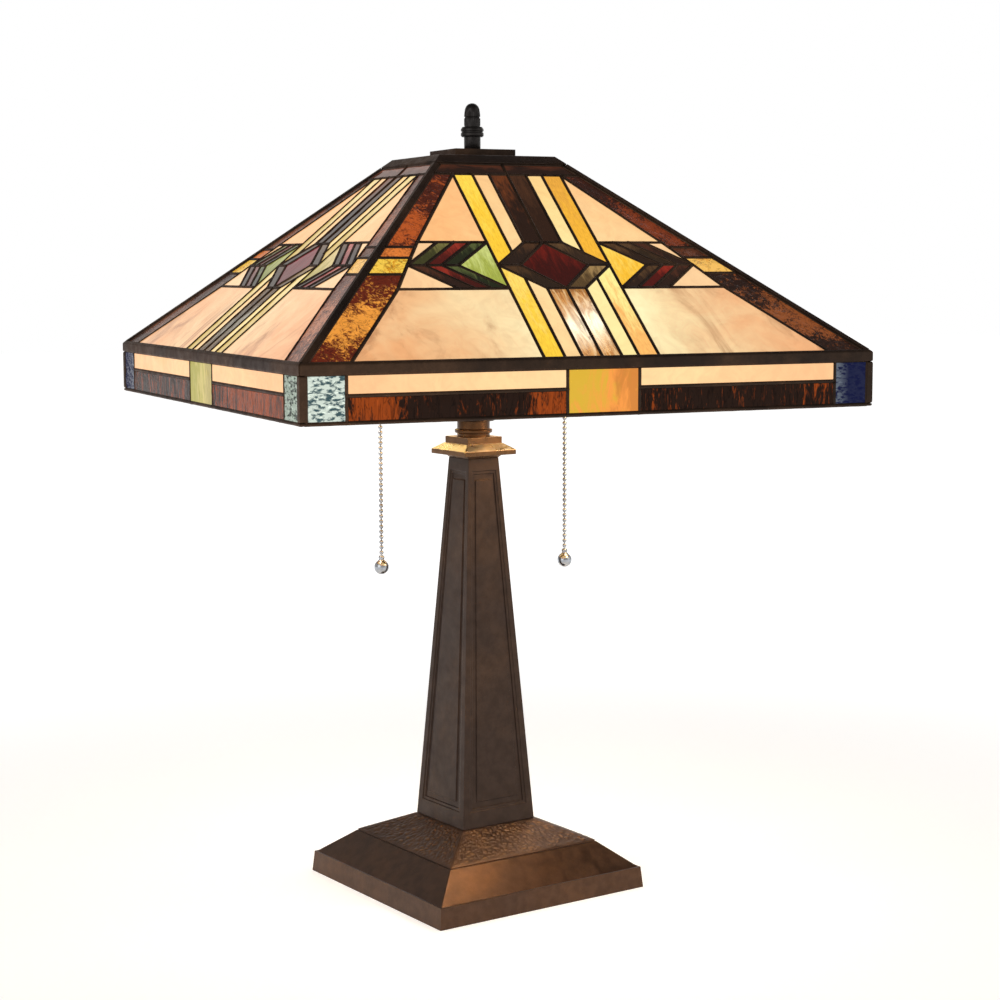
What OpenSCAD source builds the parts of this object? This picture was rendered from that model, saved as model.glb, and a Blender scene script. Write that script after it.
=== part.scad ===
// Table lamp with a square leaded art glass shade.
// A stepped square base carries a tapered square column with recessed panels.
// A two light cluster on the column is switched by two bead pull chains.
// The shade is a four sided pyramid of glass pieces in lead came with an upright skirt.
// It rests on a seat washer and is held down by a screw-on finial.
// Origin: centre of the base underside. +Z is up. The base is square to X and Y. Units: mm.

/* [Base] */
// Width of the square base at the table
base_w = 176; // [140:1:220]
// Height of the upright side of the base
base_side_h = 15; // [10:0.5:25]
// Width of the smooth slope at its top
base_slope_w = 127; // [100:1:150]
// Height of the line between the smooth slope and the hammered band
base_line_z = 32.5; // [26:0.5:44]
// Height of the base top where the column stands
base_top_z = 48; // [40:0.5:60]
// Wall of the base casting
base_wall = 3.5; // [2.5:0.1:6]

/* [Column] */
// Width of the column at its foot
column_foot_w = 62; // [50:0.5:75]
// Width of the column at its head
column_head_w = 25.8; // [20:0.2:34]
// Height of the column head above the table
column_head_z = 312.5; // [250:0.5:360]
// Depth of the recessed panels
panel_depth = 1.6; // [0.8:0.1:2.5]
// Width of the square collar plate
collar_w = 44.2; // [36:0.2:56]
// Width of the collar block
block_w = 29.6; // [24:0.2:36]
// Diameter of the neck
neck_d = 23.6; // [18:0.2:28]

/* [Cluster] */
// Direction of the lamp sockets from +X
arm_azimuth = -20; // [-45:1:45]
// Tilt of the sockets above level
arm_tilt = 30; // [15:1:40]
// Height of the point where the socket axes meet the lamp axis
hub_z = 345; // [335:1:365]
// Diameter of the lamp pipe
pipe_d = 9.6; // [9:0.1:11]
// Outer diameter of a socket shell
socket_d = 33; // [30:0.5:40]
// Distance of the pull chains from the lamp axis
chain_r = 68.4; // [55:0.2:80]
// Height of the centre of the chain balls
ball_z = 235; // [200:1:300]
// Diameter of a chain bead
bead_d = 3.2; // [2.4:0.1:4.8]

/* [Bulbs] */
// Diameter of the bulb globe
globe_d = 48; // [40:1:60]
// Diameter of the screw base
screw_d = 25.8; // [25:0.1:26.4]

/* [Shade] */
// Width of the shade at its rim
shade_w = 406.4; // [300:0.1:500]
// Height of the rim line between the roof and the skirt
rim_z = 391.9; // [370:0.1:420]
// Height of the skirt
skirt_h = 36.4; // [25:0.1:60]
// Width of the crown at the top of the roof
crown_w = 87.7; // [60:0.1:120]
// Height of the crown top above the table
crown_z = 525.5; // [480:0.5:580]
// Turn of the shade on the lamp
shade_turn = -9.9; // [-45:0.1:45]
// Width of the lead between two glass pieces
came_w = 3.4; // [2.5:0.1:6]
// Thickness of the lead lattice
came_t = 4.2; // [3:0.1:6]
// Thickness of the glass
glass_t = 2.8; // [2:0.1:4]

/* [Glass pattern] */
// Half width of the two middle strips
strip_mid = 14; // [8:0.2:20]
// Outer edge of the cream strips from the middle line
strip_cream = 26.2; // [18:0.2:34]
// Outer edge of the yellow strips from the middle line
strip_yellow = 40.8; // [30:0.2:52]
// Lower line of the patterned band, measured up the slope
band_low = 69; // [50:0.5:90]
// Upper line of the patterned band, measured up the slope
band_high = 115.5; // [95:0.5:140]
// Lower line of the dark top band, measured up the slope
top_line = 188; // [170:0.5:195]
// Half width of the red diamond
diamond_half = 25; // [18:0.5:32]
// Length of the inner triangles of the chevrons
chevron_run = 28.2; // [20:0.2:34]
// Width of the hip strips below the patterned band
hip_low_w = 32; // [24:0.5:40]
// Width of the hip strips at the tip of the chevrons
hip_tip_w = 28; // [20:0.5:36]
// Width of the hip strips above the patterned band
hip_high_w = 24.5; // [18:0.5:32]
// Half width of the middle squares of the skirt
skirt_square = 25.6; // [18:0.2:36]
// Start of the corner squares of the skirt from the middle line
skirt_corner = 173; // [150:0.5:185]
// Height above the skirt edge of the line between its two strips
skirt_line = 17.3; // [12:0.1:26]

/* [Finial] */
// Height of the finial tip above the table
finial_top_z = 564; // [540:0.5:620]
// Diameter of the finial ring
finial_ring_d = 16.2; // [12:0.2:24]

/* [Hidden] */
$fn = 64;

bronze = "#3d2f27";
aged_bronze = "#4a3728";
copper_bronze = "#9a6a3c";
brass = "#b08d4a";
nickel = "#b9b6b0";
lead = "#2b2725";

eps = 0.05;                            // gap kept at the mitre joints
clear = 0.3;                           // gap between turning pieces
pipe_r = pipe_d / 2;

// base levels
base_top_of_side_w = base_w - 2.8;     // width at the top of the upright side
base_ledge_w = base_w - 5.6;           // width where the smooth slope starts
base_groove = 0.8;                     // width and depth of the line on the slope
cover_t = 3;                           // thickness of the felted cover
top_plate_t = 3.5;                     // thickness of the plate under the column
bushing_z = 8;                         // height of the cord inlet
bushing_r = 5;                         // neck of the cord inlet
bushing_bore_r = 3.6;                  // free hole for a cord

// column levels
column_h = column_head_z - base_top_z;
column_lean = atan((column_foot_w - column_head_w) / 2 / column_h);
column_slant = norm([(column_foot_w - column_head_w) / 2, column_h]);
column_wall = 4.5;
cove_h = 2.5;                          // flare under the collar plate
plate_h = 3.5;                         // thickness of the collar plate
slope_h = 4.5;                         // slope from the plate to the block
block_h = 4.7;                         // height of the collar block
plate_z = column_head_z + cove_h;
slope_z = plate_z + plate_h;
block_z = slope_z + slope_h;
neck_z = block_z + block_h;
neck_ring_z = neck_z + 2.3;
neck_ring_h = 3.3;
neck_ring_d = neck_d + 3.5;
hub_r = 17;
hub_low_z = 339;
hub_high_z = 363;
pipe_low_z = 33;
pipe_high_z = 346;
nut_z = 36;
washer_t = 1.5;

// sockets, measured along their own axis from the lamp axis
arm_start = 11;
cap_start = 40;
cap_len = 15;
shell_len = 43;
shell_start = cap_start + cap_len;
socket_wall = 1;
insulator_wall = 1.2;
screw_wall = 1.1;
screw_start = 72;
bulb_tip = 69;
bulb_base_len = 26;
bulb_neck = bulb_tip + bulb_base_len;
globe_at = 132;
globe_wall = 1;
bulb_neck_r = 12.4;

// pull chains
bell_low_z = 346;
bell_high_z = 372;
bell_r = 4.5;
bell_bore_r = 3;
bell_mouth_r = 6.5;
bell_lip = 4;
bead_r = bead_d / 2;
bead_pitch = 4.2;
link_r = 0.6;
ball_r = 5.3;
ferrule_r = 2.2;
ferrule_top = 8.5;
chain_low_z = ball_z + ferrule_top;
chain_high_z = 361.5;

// shade planes: u runs across a face, v runs up its slope
shade_half = shade_w / 2;
crown_half = crown_w / 2;
roof_run = shade_half - crown_half;
roof_rise = crown_z - rim_z;
roof_angle = atan(roof_rise / roof_run);
roof_slant = norm([roof_run, roof_rise]);
taper = roof_run / roof_slant;
came_sink = 0.7;                       // the lattice lies this far under the hip bars
glass_sink = 1.4;                      // the glass lies this far under the hip bars
slab_low = 3;                          // lower edge of a roof lattice
cap_h = 5;                             // thickness of the crown cap
cap_z = crown_z - cap_h;
slab_high = 199.6;                     // upper edge of a roof lattice
hip_edge = 3.2;                        // edge of a lattice from the hip line
skew = norm([1, taper]);               // width across a face for one unit square to the hip
came_half = came_w / 2;
cell_low = slab_low - 0.5;
cell_high = slab_high - 0.2;
band_mid = (band_low + band_high) / 2;
hip_square_low = 83.5;
hip_square_high = 99.7;
hip_upper_low = 110.5;
boss_w = 46.4;
boss_h = 5.5;
stud_r = 3.175;
stud_bore_r = stud_r + clear;
seat_t = 3;
seat_r = 20;
seat_gap = 0.2;                        // free play between the seat washer and the shade
seat_z = cap_z - seat_gap - seat_t;    // underside of the seat washer
check_nut_h = 6;
finial_z = crown_z + boss_h;

// skirt levels
skirt_low_z = rim_z - skirt_h;
skirt_out = shade_half - 0.2;          // outer face of the corner bars
skirt_in = 198.4;                      // inner face of the lattice and the bars
skirt_bar_h = 1.8;
rim_low_z = rim_z - 6.5;
skirt_slab_z = skirt_low_z + skirt_bar_h;
skirt_cell_low = skirt_slab_z - 0.7;
skirt_cell_high = rim_low_z + 0.7;
skirt_cell_line = skirt_low_z + skirt_line;
skirt_cell_end = skirt_in + 0.2;

// ---------- plane geometry ----------

function unit2(a) = a / norm(a);
function inward(a, b) = let(e = unit2(b - a)) [-e[1], e[0]];
// a counter-clockwise outline with every side moved inwards by d
function inset(p, d) = [
    for (i = [0 : len(p) - 1])
        let(
            a = p[(i + len(p) - 1) % len(p)],
            b = p[i],
            c = p[(i + 1) % len(p)],
            n = inward(a, b),
            m = inward(b, c)
        )
        b + d * (n + m) / (1 + n * m)
];
// the same outline on the other side of the middle line
function flip(p) = [for (i = [len(p) - 1 : -1 : 0]) [-p[i][0], p[i][1]]];
function both(cells) = concat(cells, [for (c = cells) flip(c)]);

// half width of a roof face at height v up its slope, and of its lattice
function hip_u(v) = shade_half - v * taper;
function slab_u(v) = hip_u(v) - hip_edge * skew;
hip_line = [
    [cell_low, hip_u(cell_low) - hip_low_w],
    [band_low, hip_u(band_low) - hip_low_w],
    [band_mid, hip_u(band_mid) - hip_tip_w],
    [band_high, hip_u(band_high) - hip_high_w],
    [top_line, strip_yellow]
];
function inner(v) = [lookup(v, hip_line), v];
function outer(v) = [slab_u(v), v];

// chevron k ends at its root on the band lines and at its tip on the middle line
tip_u = inner(band_mid)[0];
chevron_w = (tip_u - strip_yellow - chevron_run) / 3;
function root(k, v) = [strip_yellow + k * chevron_w, v];
function tip(k) = [strip_yellow + chevron_run + k * chevron_w, band_mid];
// height of the slanted edge of the middle hexagon at the cream strip's outer edge
edge_rise = (band_high - band_mid) * (strip_yellow - strip_cream) / (strip_yellow - strip_mid);
edge_high = band_mid + edge_rise;
edge_low = band_mid - edge_rise;

function rect(u0, u1, v0, v1) = [[u0, v0], [u1, v0], [u1, v1], [u0, v1]];
function top_band_cells() = both([
    [[0, top_line], outer(top_line), outer(cell_high), [0, cell_high]]
]);
function dark_cells() = both([rect(0, strip_mid, band_high, top_line)]);
function wispy_cells() = both([rect(0, strip_mid, cell_low, band_low)]);
function yellow_cells() = both([
    [
        [strip_cream, edge_high], [strip_yellow, band_mid],
        [strip_yellow, top_line], [strip_cream, top_line]
    ],
    [
        [strip_cream, cell_low], [strip_yellow, cell_low],
        [strip_yellow, band_mid], [strip_cream, edge_low]
    ]
]);
function cream_cells() = both([
    [
        [strip_mid, band_high], [strip_cream, edge_high],
        [strip_cream, top_line], [strip_mid, top_line]
    ],
    [
        [strip_mid, cell_low], [strip_cream, cell_low],
        [strip_cream, edge_low], [strip_mid, band_low]
    ]
]);
function upper_panel_cells() = both([
    [[strip_yellow, band_high], inner(band_high), inner(top_line)]
]);
function lower_panel_cells() = both([
    [[strip_yellow, cell_low], inner(cell_low), inner(band_low), [strip_yellow, band_low]]
]);
function triangle_cell() = [root(0, band_low), tip(0), root(0, band_high)];
function chevron_cells(k) = both([
    [tip(k - 1), tip(k), root(k, band_high), root(k - 1, band_high)],
    [root(k - 1, band_low), root(k, band_low), tip(k), tip(k - 1)]
]);
function tip_triangle_cells() = both([
    [root(3, band_high), tip(3), inner(band_high)],
    [root(3, band_low), inner(band_low), tip(3)]
]);
function diamond_cells() = [
    [[-diamond_half, band_mid], [0, band_low], [diamond_half, band_mid], [0, band_high]]
];
function border_cells() = both([
    [
        [diamond_half, band_mid], [strip_yellow, band_mid],
        [strip_mid, band_high], [0, band_high]
    ],
    [
        [0, band_low], [strip_mid, band_low],
        [strip_yellow, band_mid], [diamond_half, band_mid]
    ]
]);
function hip_upper_cells() = both([
    [
        inner(hip_upper_low), outer(hip_upper_low), outer(top_line),
        inner(top_line), inner(band_high)
    ]
]);
function hip_square_cells() = both([
    [
        inner(hip_square_low), outer(hip_square_low), outer(hip_square_high),
        inner(hip_square_high), inner(band_mid)
    ],
    [
        inner(hip_square_high), outer(hip_square_high), outer(hip_upper_low),
        inner(hip_upper_low)
    ]
]);
function hip_lower_cells() = both([
    [
        inner(cell_low), outer(cell_low), outer(hip_square_low),
        inner(hip_square_low), inner(band_low)
    ]
]);
function roof_cells() = concat(
    top_band_cells(), dark_cells(), wispy_cells(), yellow_cells(), cream_cells(),
    upper_panel_cells(), lower_panel_cells(), both([triangle_cell()]),
    chevron_cells(1), chevron_cells(2), chevron_cells(3), tip_triangle_cells(),
    diamond_cells(), border_cells(), hip_upper_cells(), hip_square_cells(),
    hip_lower_cells()
);

function skirt_square_cells() = [
    rect(-skirt_square, skirt_square, skirt_cell_low, skirt_cell_high)
];
function skirt_brown_cells() = both([
    rect(skirt_square, skirt_corner, skirt_cell_low, skirt_cell_line)
]);
function skirt_beige_cells() = both([
    rect(skirt_square, skirt_corner, skirt_cell_line, skirt_cell_high)
]);
function skirt_corner_cells() = both([
    rect(skirt_corner, skirt_cell_end, skirt_cell_low, skirt_cell_high)
]);
function skirt_cells() = concat(
    skirt_square_cells(), skirt_brown_cells(), skirt_beige_cells(), skirt_corner_cells()
);

// ---------- helpers ----------

// square frustum with widths w1 below and w2 above
module frustum(w1, w2, h) {
    rotate([0, 0, 45]) cylinder(d1 = w1 * sqrt(2), d2 = w2 * sqrt(2), h = h, $fn = 4);
}

module box(w, h) {
    translate([-w / 2, -w / 2, 0]) cube([w, w, h]);
}

module on_faces() {
    for (k = [0 : 3]) rotate([0, 0, 90 * k]) children();
}

module in_shade() {
    rotate([0, 0, shade_turn]) children();
}

// x across, y up the slope, z out of the face; z = 0 is the plane of the hip lines
module on_roof() {
    in_shade() on_faces()
        translate([0, -shade_half, rim_z]) rotate([roof_angle, 0, 0]) children();
}

// x across, y up, z out of the face; z = 0 is the outer face of the skirt bars
module on_skirt() {
    in_shade() on_faces() translate([0, -skirt_out, 0]) rotate([90, 0, 0]) children();
}

module slab(sink, t) {
    translate([0, 0, -sink - t]) linear_extrude(t) children();
}

module roof_glass(cells) {
    on_roof() slab(glass_sink, glass_t)
        for (c = cells) polygon(inset(c, came_half));
}

module skirt_glass(cells) {
    on_skirt() slab(glass_sink - came_sink, glass_t)
        for (c = cells) polygon(inset(c, came_half));
}

// four mitred bars; the profile is given as distance from the axis and height
module mitred_bars(profile) {
    reach = 2 * shade_w;
    on_faces() intersection() {
        rotate([90, 0, -90]) linear_extrude(reach, center = true) polygon(profile);
        linear_extrude(2 * crown_z)
            polygon([[0, -eps], [-shade_w, -shade_w - eps], [shade_w, -shade_w - eps]]);
    }
}

// z runs out along a socket's axis from the lamp axis
module on_arm(side) {
    rotate([0, 0, arm_azimuth + 180 * side]) translate([0, 0, hub_z])
        rotate([0, 90 - arm_tilt, 0]) children();
}

module at_chain(side) {
    rotate([0, 0, arm_azimuth + 180 * side]) translate([chain_r, 0, 0]) children();
}

module hex_nut(flats, h, bore) {
    difference() {
        cylinder(d = flats / cos(30), h = h, $fn = 6);
        translate([0, 0, -1]) cylinder(r = bore, h = h + 2);
    }
}

// ---------- base and column ----------

module base_outer() {
    frustum(base_w, base_top_of_side_w, base_side_h);
    translate([0, 0, base_side_h])
        frustum(base_ledge_w, base_slope_w, base_line_z - base_side_h);
    translate([0, 0, base_line_z])
        frustum(base_slope_w - 2 * base_groove, base_slope_w - 2 * base_groove, base_groove);
    translate([0, 0, base_line_z + base_groove])
        frustum(base_slope_w - base_groove, column_foot_w, base_top_z - base_line_z - base_groove);
}

module base_hollow() {
    hollow_w = base_ledge_w - 2 * base_wall;
    slope_w = base_slope_w - 2 * base_wall;
    translate([0, 0, -1]) box(hollow_w, base_side_h - 1);
    translate([0, 0, base_side_h - 2]) frustum(hollow_w, slope_w, base_line_z - base_side_h);
    translate([0, 0, base_line_z - 2 - eps])
        frustum(slope_w, column_foot_w, base_top_z - top_plate_t - base_line_z + 2 + eps);
}

module base_casting() {
    color(bronze) difference() {
        base_outer();
        base_hollow();
        translate([0, 0, base_top_z - 10]) cylinder(r = pipe_r, h = 20);
        translate([0, base_w / 2 - 20, bushing_z]) rotate([-90, 0, 0])
            cylinder(r = bushing_r, h = 40);
    }
}

module base_cover() {
    color("#22382b") box(base_ledge_w - 2 * base_wall, cover_t);
}

module cord_bushing() {
    flange_t = 2;
    flange_r = 6.5;
    inside = 3.5;
    color("#1d1b1a") translate([0, base_w / 2 + 0.1, bushing_z]) rotate([-90, 0, 0])
        difference() {
            union() {
                cylinder(r = flange_r, h = flange_t);
                translate([0, 0, -base_wall - inside]) cylinder(r = bushing_r, h = base_wall + inside);
            }
            translate([0, 0, -base_wall - inside - 1])
                cylinder(r = bushing_bore_r, h = base_wall + inside + flange_t + 2);
        }
}

// half width of a column face at height y up its slope
function column_u(y) = (column_foot_w - (column_foot_w - column_head_w) * y / column_slant) / 2;
function panel_shape(y0, y1, m0, m1) = [
    [m0 - column_u(y0), y0], [column_u(y0) - m0, y0],
    [column_u(y1) - m1, y1], [m1 - column_u(y1), y1]
];

// a stepped recess with a raised field in it
module panel_cut() {
    frame = 0.45 * panel_depth;
    low = 12;
    high = column_slant - 9;
    margin_low = 5.5;
    margin_high = 3.4;
    step = 2.2;
    field = 4.2;
    translate([0, 0, -frame]) linear_extrude(5)
        polygon(panel_shape(low, high, margin_low, margin_high));
    translate([0, 0, -panel_depth]) linear_extrude(5)
        difference() {
            polygon(panel_shape(low + step, high - step, margin_low + step, margin_high + step - 0.6));
            polygon(panel_shape(low + step + field, high - step - field,
                margin_low + step + field, margin_high + step + 1.2));
        }
}

module column() {
    color(aged_bronze) difference() {
        translate([0, 0, base_top_z]) frustum(column_foot_w, column_head_w, column_h);
        translate([0, 0, base_top_z - eps])
            frustum(column_foot_w - 2 * column_wall, column_head_w - 1.7 * column_wall,
                column_h + 2 * eps);
        on_faces() translate([0, -column_foot_w / 2, base_top_z])
            rotate([90 - column_lean, 0, 0]) panel_cut();
    }
}

module column_collar() {
    color(copper_bronze) difference() {
        union() {
            translate([0, 0, column_head_z]) frustum(column_head_w, block_w + 1, cove_h);
            translate([0, 0, plate_z]) box(collar_w, plate_h);
            translate([0, 0, slope_z]) frustum(collar_w, block_w + 1.4, slope_h);
            translate([0, 0, block_z]) box(block_w, block_h);
        }
        translate([0, 0, column_head_z - 1]) cylinder(r = pipe_r, h = 30);
    }
}

module neck_tube() {
    color(copper_bronze) rotate_extrude() polygon([
        [pipe_r, neck_z], [neck_d / 2, neck_z], [neck_d / 2, neck_ring_z],
        [neck_ring_d / 2, neck_ring_z + 0.6], [neck_ring_d / 2, neck_ring_z + neck_ring_h - 0.6],
        [neck_d / 2, neck_ring_z + neck_ring_h], [neck_d / 2, hub_low_z], [pipe_r, hub_low_z]
    ]);
}

module center_pipe() {
    bore_r = pipe_r - 1.6;
    color(brass) difference() {
        translate([0, 0, pipe_low_z]) cylinder(r = pipe_r, h = pipe_high_z - pipe_low_z);
        translate([0, 0, pipe_low_z - 1]) cylinder(r = bore_r, h = pipe_high_z - pipe_low_z + 2);
    }
}

module pipe_nut() {
    color(brass) translate([0, 0, nut_z])
        hex_nut(16, base_top_z - top_plate_t - washer_t - nut_z, pipe_r);
}

module pipe_washer() {
    color(nickel) translate([0, 0, base_top_z - top_plate_t - washer_t]) difference() {
        cylinder(r = 14, h = washer_t);
        translate([0, 0, -1]) cylinder(r = pipe_r, h = washer_t + 2);
    }
}

// ---------- lamp cluster ----------

module cluster_hub() {
    edge = 2;
    color(aged_bronze) difference() {
        rotate_extrude() polygon([
            [0, hub_low_z], [hub_r - edge, hub_low_z], [hub_r, hub_low_z + edge],
            [hub_r, hub_high_z - edge], [hub_r - edge, hub_high_z], [0, hub_high_z]
        ]);
        translate([0, 0, hub_low_z - 1]) cylinder(r = pipe_r, h = pipe_high_z - hub_low_z + 1);
        translate([0, 0, hub_high_z - 7]) cylinder(r = pipe_r, h = 10);
        for (side = [0, 1]) on_arm(side) translate([0, 0, arm_start])
            cylinder(r = pipe_r, h = 30);
    }
}

module socket_arms() {
    color(brass) for (side = [0, 1]) on_arm(side) difference() {
        translate([0, 0, arm_start]) cylinder(r = pipe_r, h = cap_start + 2 - arm_start);
        translate([0, 0, arm_start - 1]) cylinder(r = pipe_r - 1.6, h = cap_start + 5 - arm_start);
    }
}

module socket_caps() {
    r = socket_d / 2;
    w = socket_wall;
    color(brass) for (side = [0, 1]) on_arm(side) translate([0, 0, cap_start])
        rotate_extrude() polygon([
            [pipe_r, 0], [7, 0], [8.5, 1.6], [13, 3.5], [r - 0.6, 7.5], [r, 10.5], [r, cap_len],
            [r - w, cap_len], [r - w, 10.7], [r - 1.6, 8.2], [12.5, 4.7], [8, 2.9], [pipe_r, 2.9]
        ]);
}

module socket_shells() {
    color(brass) for (side = [0, 1]) on_arm(side) difference() {
        translate([0, 0, shell_start]) cylinder(d = socket_d, h = shell_len);
        translate([0, 0, shell_start - 1])
            cylinder(r = socket_d / 2 - socket_wall, h = shell_len + 2);
    }
}

module socket_insulators() {
    r = socket_d / 2 - socket_wall;
    floor_t = 4;
    start = shell_start + 3;
    color("#8a8378") for (side = [0, 1]) on_arm(side) difference() {
        translate([0, 0, start]) cylinder(r = r, h = shell_start + shell_len - 1 - start);
        translate([0, 0, start + floor_t]) cylinder(r = r - insulator_wall, h = shell_len);
    }
}

// brass screw shell with the spring contact under the bulb
module screw_shells() {
    r = socket_d / 2 - socket_wall - insulator_wall;
    floor_at = shell_start + 7;
    color(brass) for (side = [0, 1]) on_arm(side) {
        difference() {
            translate([0, 0, floor_at]) cylinder(r = r, h = 30);
            translate([0, 0, floor_at + 1.5]) cylinder(r = r - screw_wall, h = 40);
        }
        translate([0, 0, floor_at + 1.5]) cylinder(r = 3.5, h = 4);
    }
}

// bell mouthed guide under each switch
module chain_bells() {
    color(brass) for (side = [0, 1]) difference() {
        at_chain(side) rotate_extrude() polygon([
            [bell_mouth_r - 0.8, bell_low_z], [bell_mouth_r, bell_low_z],
            [bell_mouth_r, bell_low_z + 0.8], [bell_r, bell_low_z + bell_lip],
            [bell_r, bell_high_z], [bell_bore_r, bell_high_z],
            [bell_bore_r, bell_low_z + bell_lip]
        ]);
        on_arm(side) translate([0, 0, cap_start]) cylinder(d = socket_d, h = cap_len + shell_len);
    }
}

module riser_rod() {
    stud_len = finial_z + 14 - seat_z;
    color(brass) {
        translate([0, 0, hub_high_z - 7]) cylinder(r = pipe_r, h = seat_z - hub_high_z + 7);
        translate([0, 0, seat_z]) cylinder(r = stud_r, h = stud_len);
    }
}

module check_nut() {
    color(brass) translate([0, 0, seat_z - check_nut_h]) hex_nut(16, check_nut_h, pipe_r);
}

// round seat that carries the shade
module seat_washer() {
    color(brass) translate([0, 0, seat_z]) difference() {
        cylinder(r = seat_r, h = seat_t);
        translate([0, 0, -1]) cylinder(r = stud_r, h = seat_t + 2);
    }
}

// ---------- shade: crown and lead ----------

// half width of the roof plane at height z
function roof_half(z) = shade_half - (z - rim_z) / tan(roof_angle);
// a point of a roof face in distance from the axis and height, sunk under the plane
function roof_point(v, sink) = [
    shade_half - v * cos(roof_angle) - sink * sin(roof_angle),
    rim_z + v * sin(roof_angle) - sink * cos(roof_angle)
];

module crown_cap() {
    color(lead) in_shade() difference() {
        translate([0, 0, cap_z]) frustum(2 * roof_half(cap_z), crown_w, cap_h);
        translate([0, 0, cap_z - 1]) cylinder(r = stud_bore_r, h = cap_h + 2);
    }
}

module crown_boss() {
    color(lead) in_shade() difference() {
        translate([0, 0, crown_z]) box(boss_w, boss_h);
        translate([0, 0, crown_z - 1]) cylinder(r = stud_bore_r, h = boss_h + 2);
    }
}

module crown_ring() {
    low = roof_point(slab_high, came_sink + came_t);
    inside = crown_half;
    mitred_bars([
        roof_point(slab_high, 0), [roof_half(cap_z), cap_z], [inside, cap_z],
        [inside, low[1]], low
    ]);
}

module crown_bars() {
    color(lead) in_shade() crown_ring();
}

module roof_came() {
    color(lead) on_roof() slab(came_sink, came_t) difference() {
        polygon([
            [-slab_u(slab_low), slab_low], [slab_u(slab_low), slab_low],
            [slab_u(slab_high), slab_high], [-slab_u(slab_high), slab_high]
        ]);
        for (c = roof_cells()) polygon(inset(c, came_half));
    }
}

module rim_ring() {
    low = roof_point(slab_low, came_sink + came_t);
    mitred_bars([
        [skirt_in, rim_low_z], [shade_half, rim_low_z], [shade_half, rim_z],
        roof_point(slab_low, 0), low, [low[0], rim_low_z + 2.5]
    ]);
}

module rim_bars() {
    color(lead) in_shade() rim_ring();
}

module hip_bars() {
    hip_slope = atan(roof_rise / (roof_run * sqrt(2)));
    fold = acos(sin(roof_angle) * sin(hip_slope) / sqrt(2) + cos(roof_angle) * cos(hip_slope));
    per_v = sqrt(2) * taper / cos(hip_slope);
    depth = came_sink + came_t;
    edge = hip_edge * [-sin(fold), cos(fold)];
    deep = edge - depth * [cos(fold), sin(fold)];
    color(lead) in_shade() difference() {
        on_faces() rotate([0, 0, 45]) translate([shade_half * sqrt(2), 0, rim_z])
            rotate([0, hip_slope - 90, 0]) translate([0, 0, slab_low * per_v])
                linear_extrude((slab_high - slab_low) * per_v) polygon([
                    [0, 0], edge, deep, [deep[0], -deep[1]], [edge[0], -edge[1]]
                ]);
        rim_ring();
        crown_ring();
    }
}

module skirt_came() {
    depth = skirt_out - skirt_in;
    color(lead) on_skirt() slab(depth - came_t, came_t) difference() {
        polygon(rect(-skirt_in, skirt_in, skirt_slab_z, rim_low_z));
        for (c = skirt_cells()) polygon(inset(c, came_half));
    }
}

module corner_bars() {
    w = skirt_out - skirt_in;
    color(lead) in_shade() on_faces() translate([skirt_in, skirt_in, skirt_slab_z])
        cube([w, w, rim_low_z - skirt_slab_z]);
}

module bottom_bars() {
    color(lead) in_shade() mitred_bars([
        [skirt_in, skirt_low_z], [skirt_out, skirt_low_z],
        [skirt_out, skirt_slab_z], [skirt_in, skirt_slab_z]
    ]);
}

// ---------- shade: glass ----------

module glass_top_bands() { color("#33150c") roof_glass(top_band_cells()); }
module glass_dark_strips() { color("#2e1a12") roof_glass(dark_cells()); }
module glass_wispy_strips() { color("#f3dcb4") roof_glass(wispy_cells()); }
module glass_yellow_strips() { color("#f4c843") roof_glass(yellow_cells()); }
module glass_cream_strips() { color("#f8dcab") roof_glass(cream_cells()); }
module glass_upper_panels() { color("#f9cf9c") roof_glass(upper_panel_cells()); }
module glass_lower_panels() { color("#f9cf9c") roof_glass(lower_panel_cells()); }
module glass_green_triangles() { color("#a9c765") roof_glass([flip(triangle_cell())]); }
module glass_yellow_triangles() { color("#f2cb4e") roof_glass([triangle_cell()]); }
module glass_green_chevrons() { color("#3a3a22") roof_glass(chevron_cells(1)); }
module glass_red_chevrons() { color("#7a1f18") roof_glass(chevron_cells(2)); }
module glass_brown_chevrons() { color("#5a5a32") roof_glass(chevron_cells(3)); }
module glass_tip_triangles() { color("#f6d9b8") roof_glass(tip_triangle_cells()); }
module glass_red_diamonds() { color("#4f0d08") roof_glass(diamond_cells()); }
module glass_diamond_borders() { color("#5b4028") roof_glass(border_cells()); }
module glass_hip_upper() { color("#8a3a14") roof_glass(hip_upper_cells()); }
module glass_hip_squares() { color("#e9a63a") roof_glass(hip_square_cells()); }
module glass_hip_lower() { color("#9a4a1a") roof_glass(hip_lower_cells()); }
module glass_skirt_beige() { color("#fbd3a3") skirt_glass(skirt_beige_cells()); }
module glass_skirt_brown() { color("#5a2610") skirt_glass(skirt_brown_cells()); }
module glass_skirt_squares() { color("#d9a23c") skirt_glass(skirt_square_cells()); }
module glass_skirt_corners() { color("#5e8790") skirt_glass(skirt_corner_cells()); }

// ---------- finial, chains and bulbs ----------

module finial() {
    neck_r = 5.85;
    ring_z = finial_z + 9.4;
    ring_high = ring_z + 7.3;
    ring_r = finial_ring_d / 2;
    bore_top = finial_z + 15;
    color(lead) rotate_extrude() polygon([
        [stud_bore_r, finial_z], [neck_r, finial_z], [neck_r, ring_z],
        [ring_r - 0.8, ring_z], [ring_r, ring_z + 0.8], [ring_r, ring_high - 2],
        [ring_r - 1.4, ring_high], [5.55, ring_high], [5.4, ring_high + 5],
        [4.9, finial_top_z - 7.5], [3.9, finial_top_z - 3.6], [2.4, finial_top_z - 1.1],
        [0.9, finial_top_z], [0, finial_top_z], [0, bore_top], [stud_bore_r, bore_top]
    ]);
}

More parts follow.
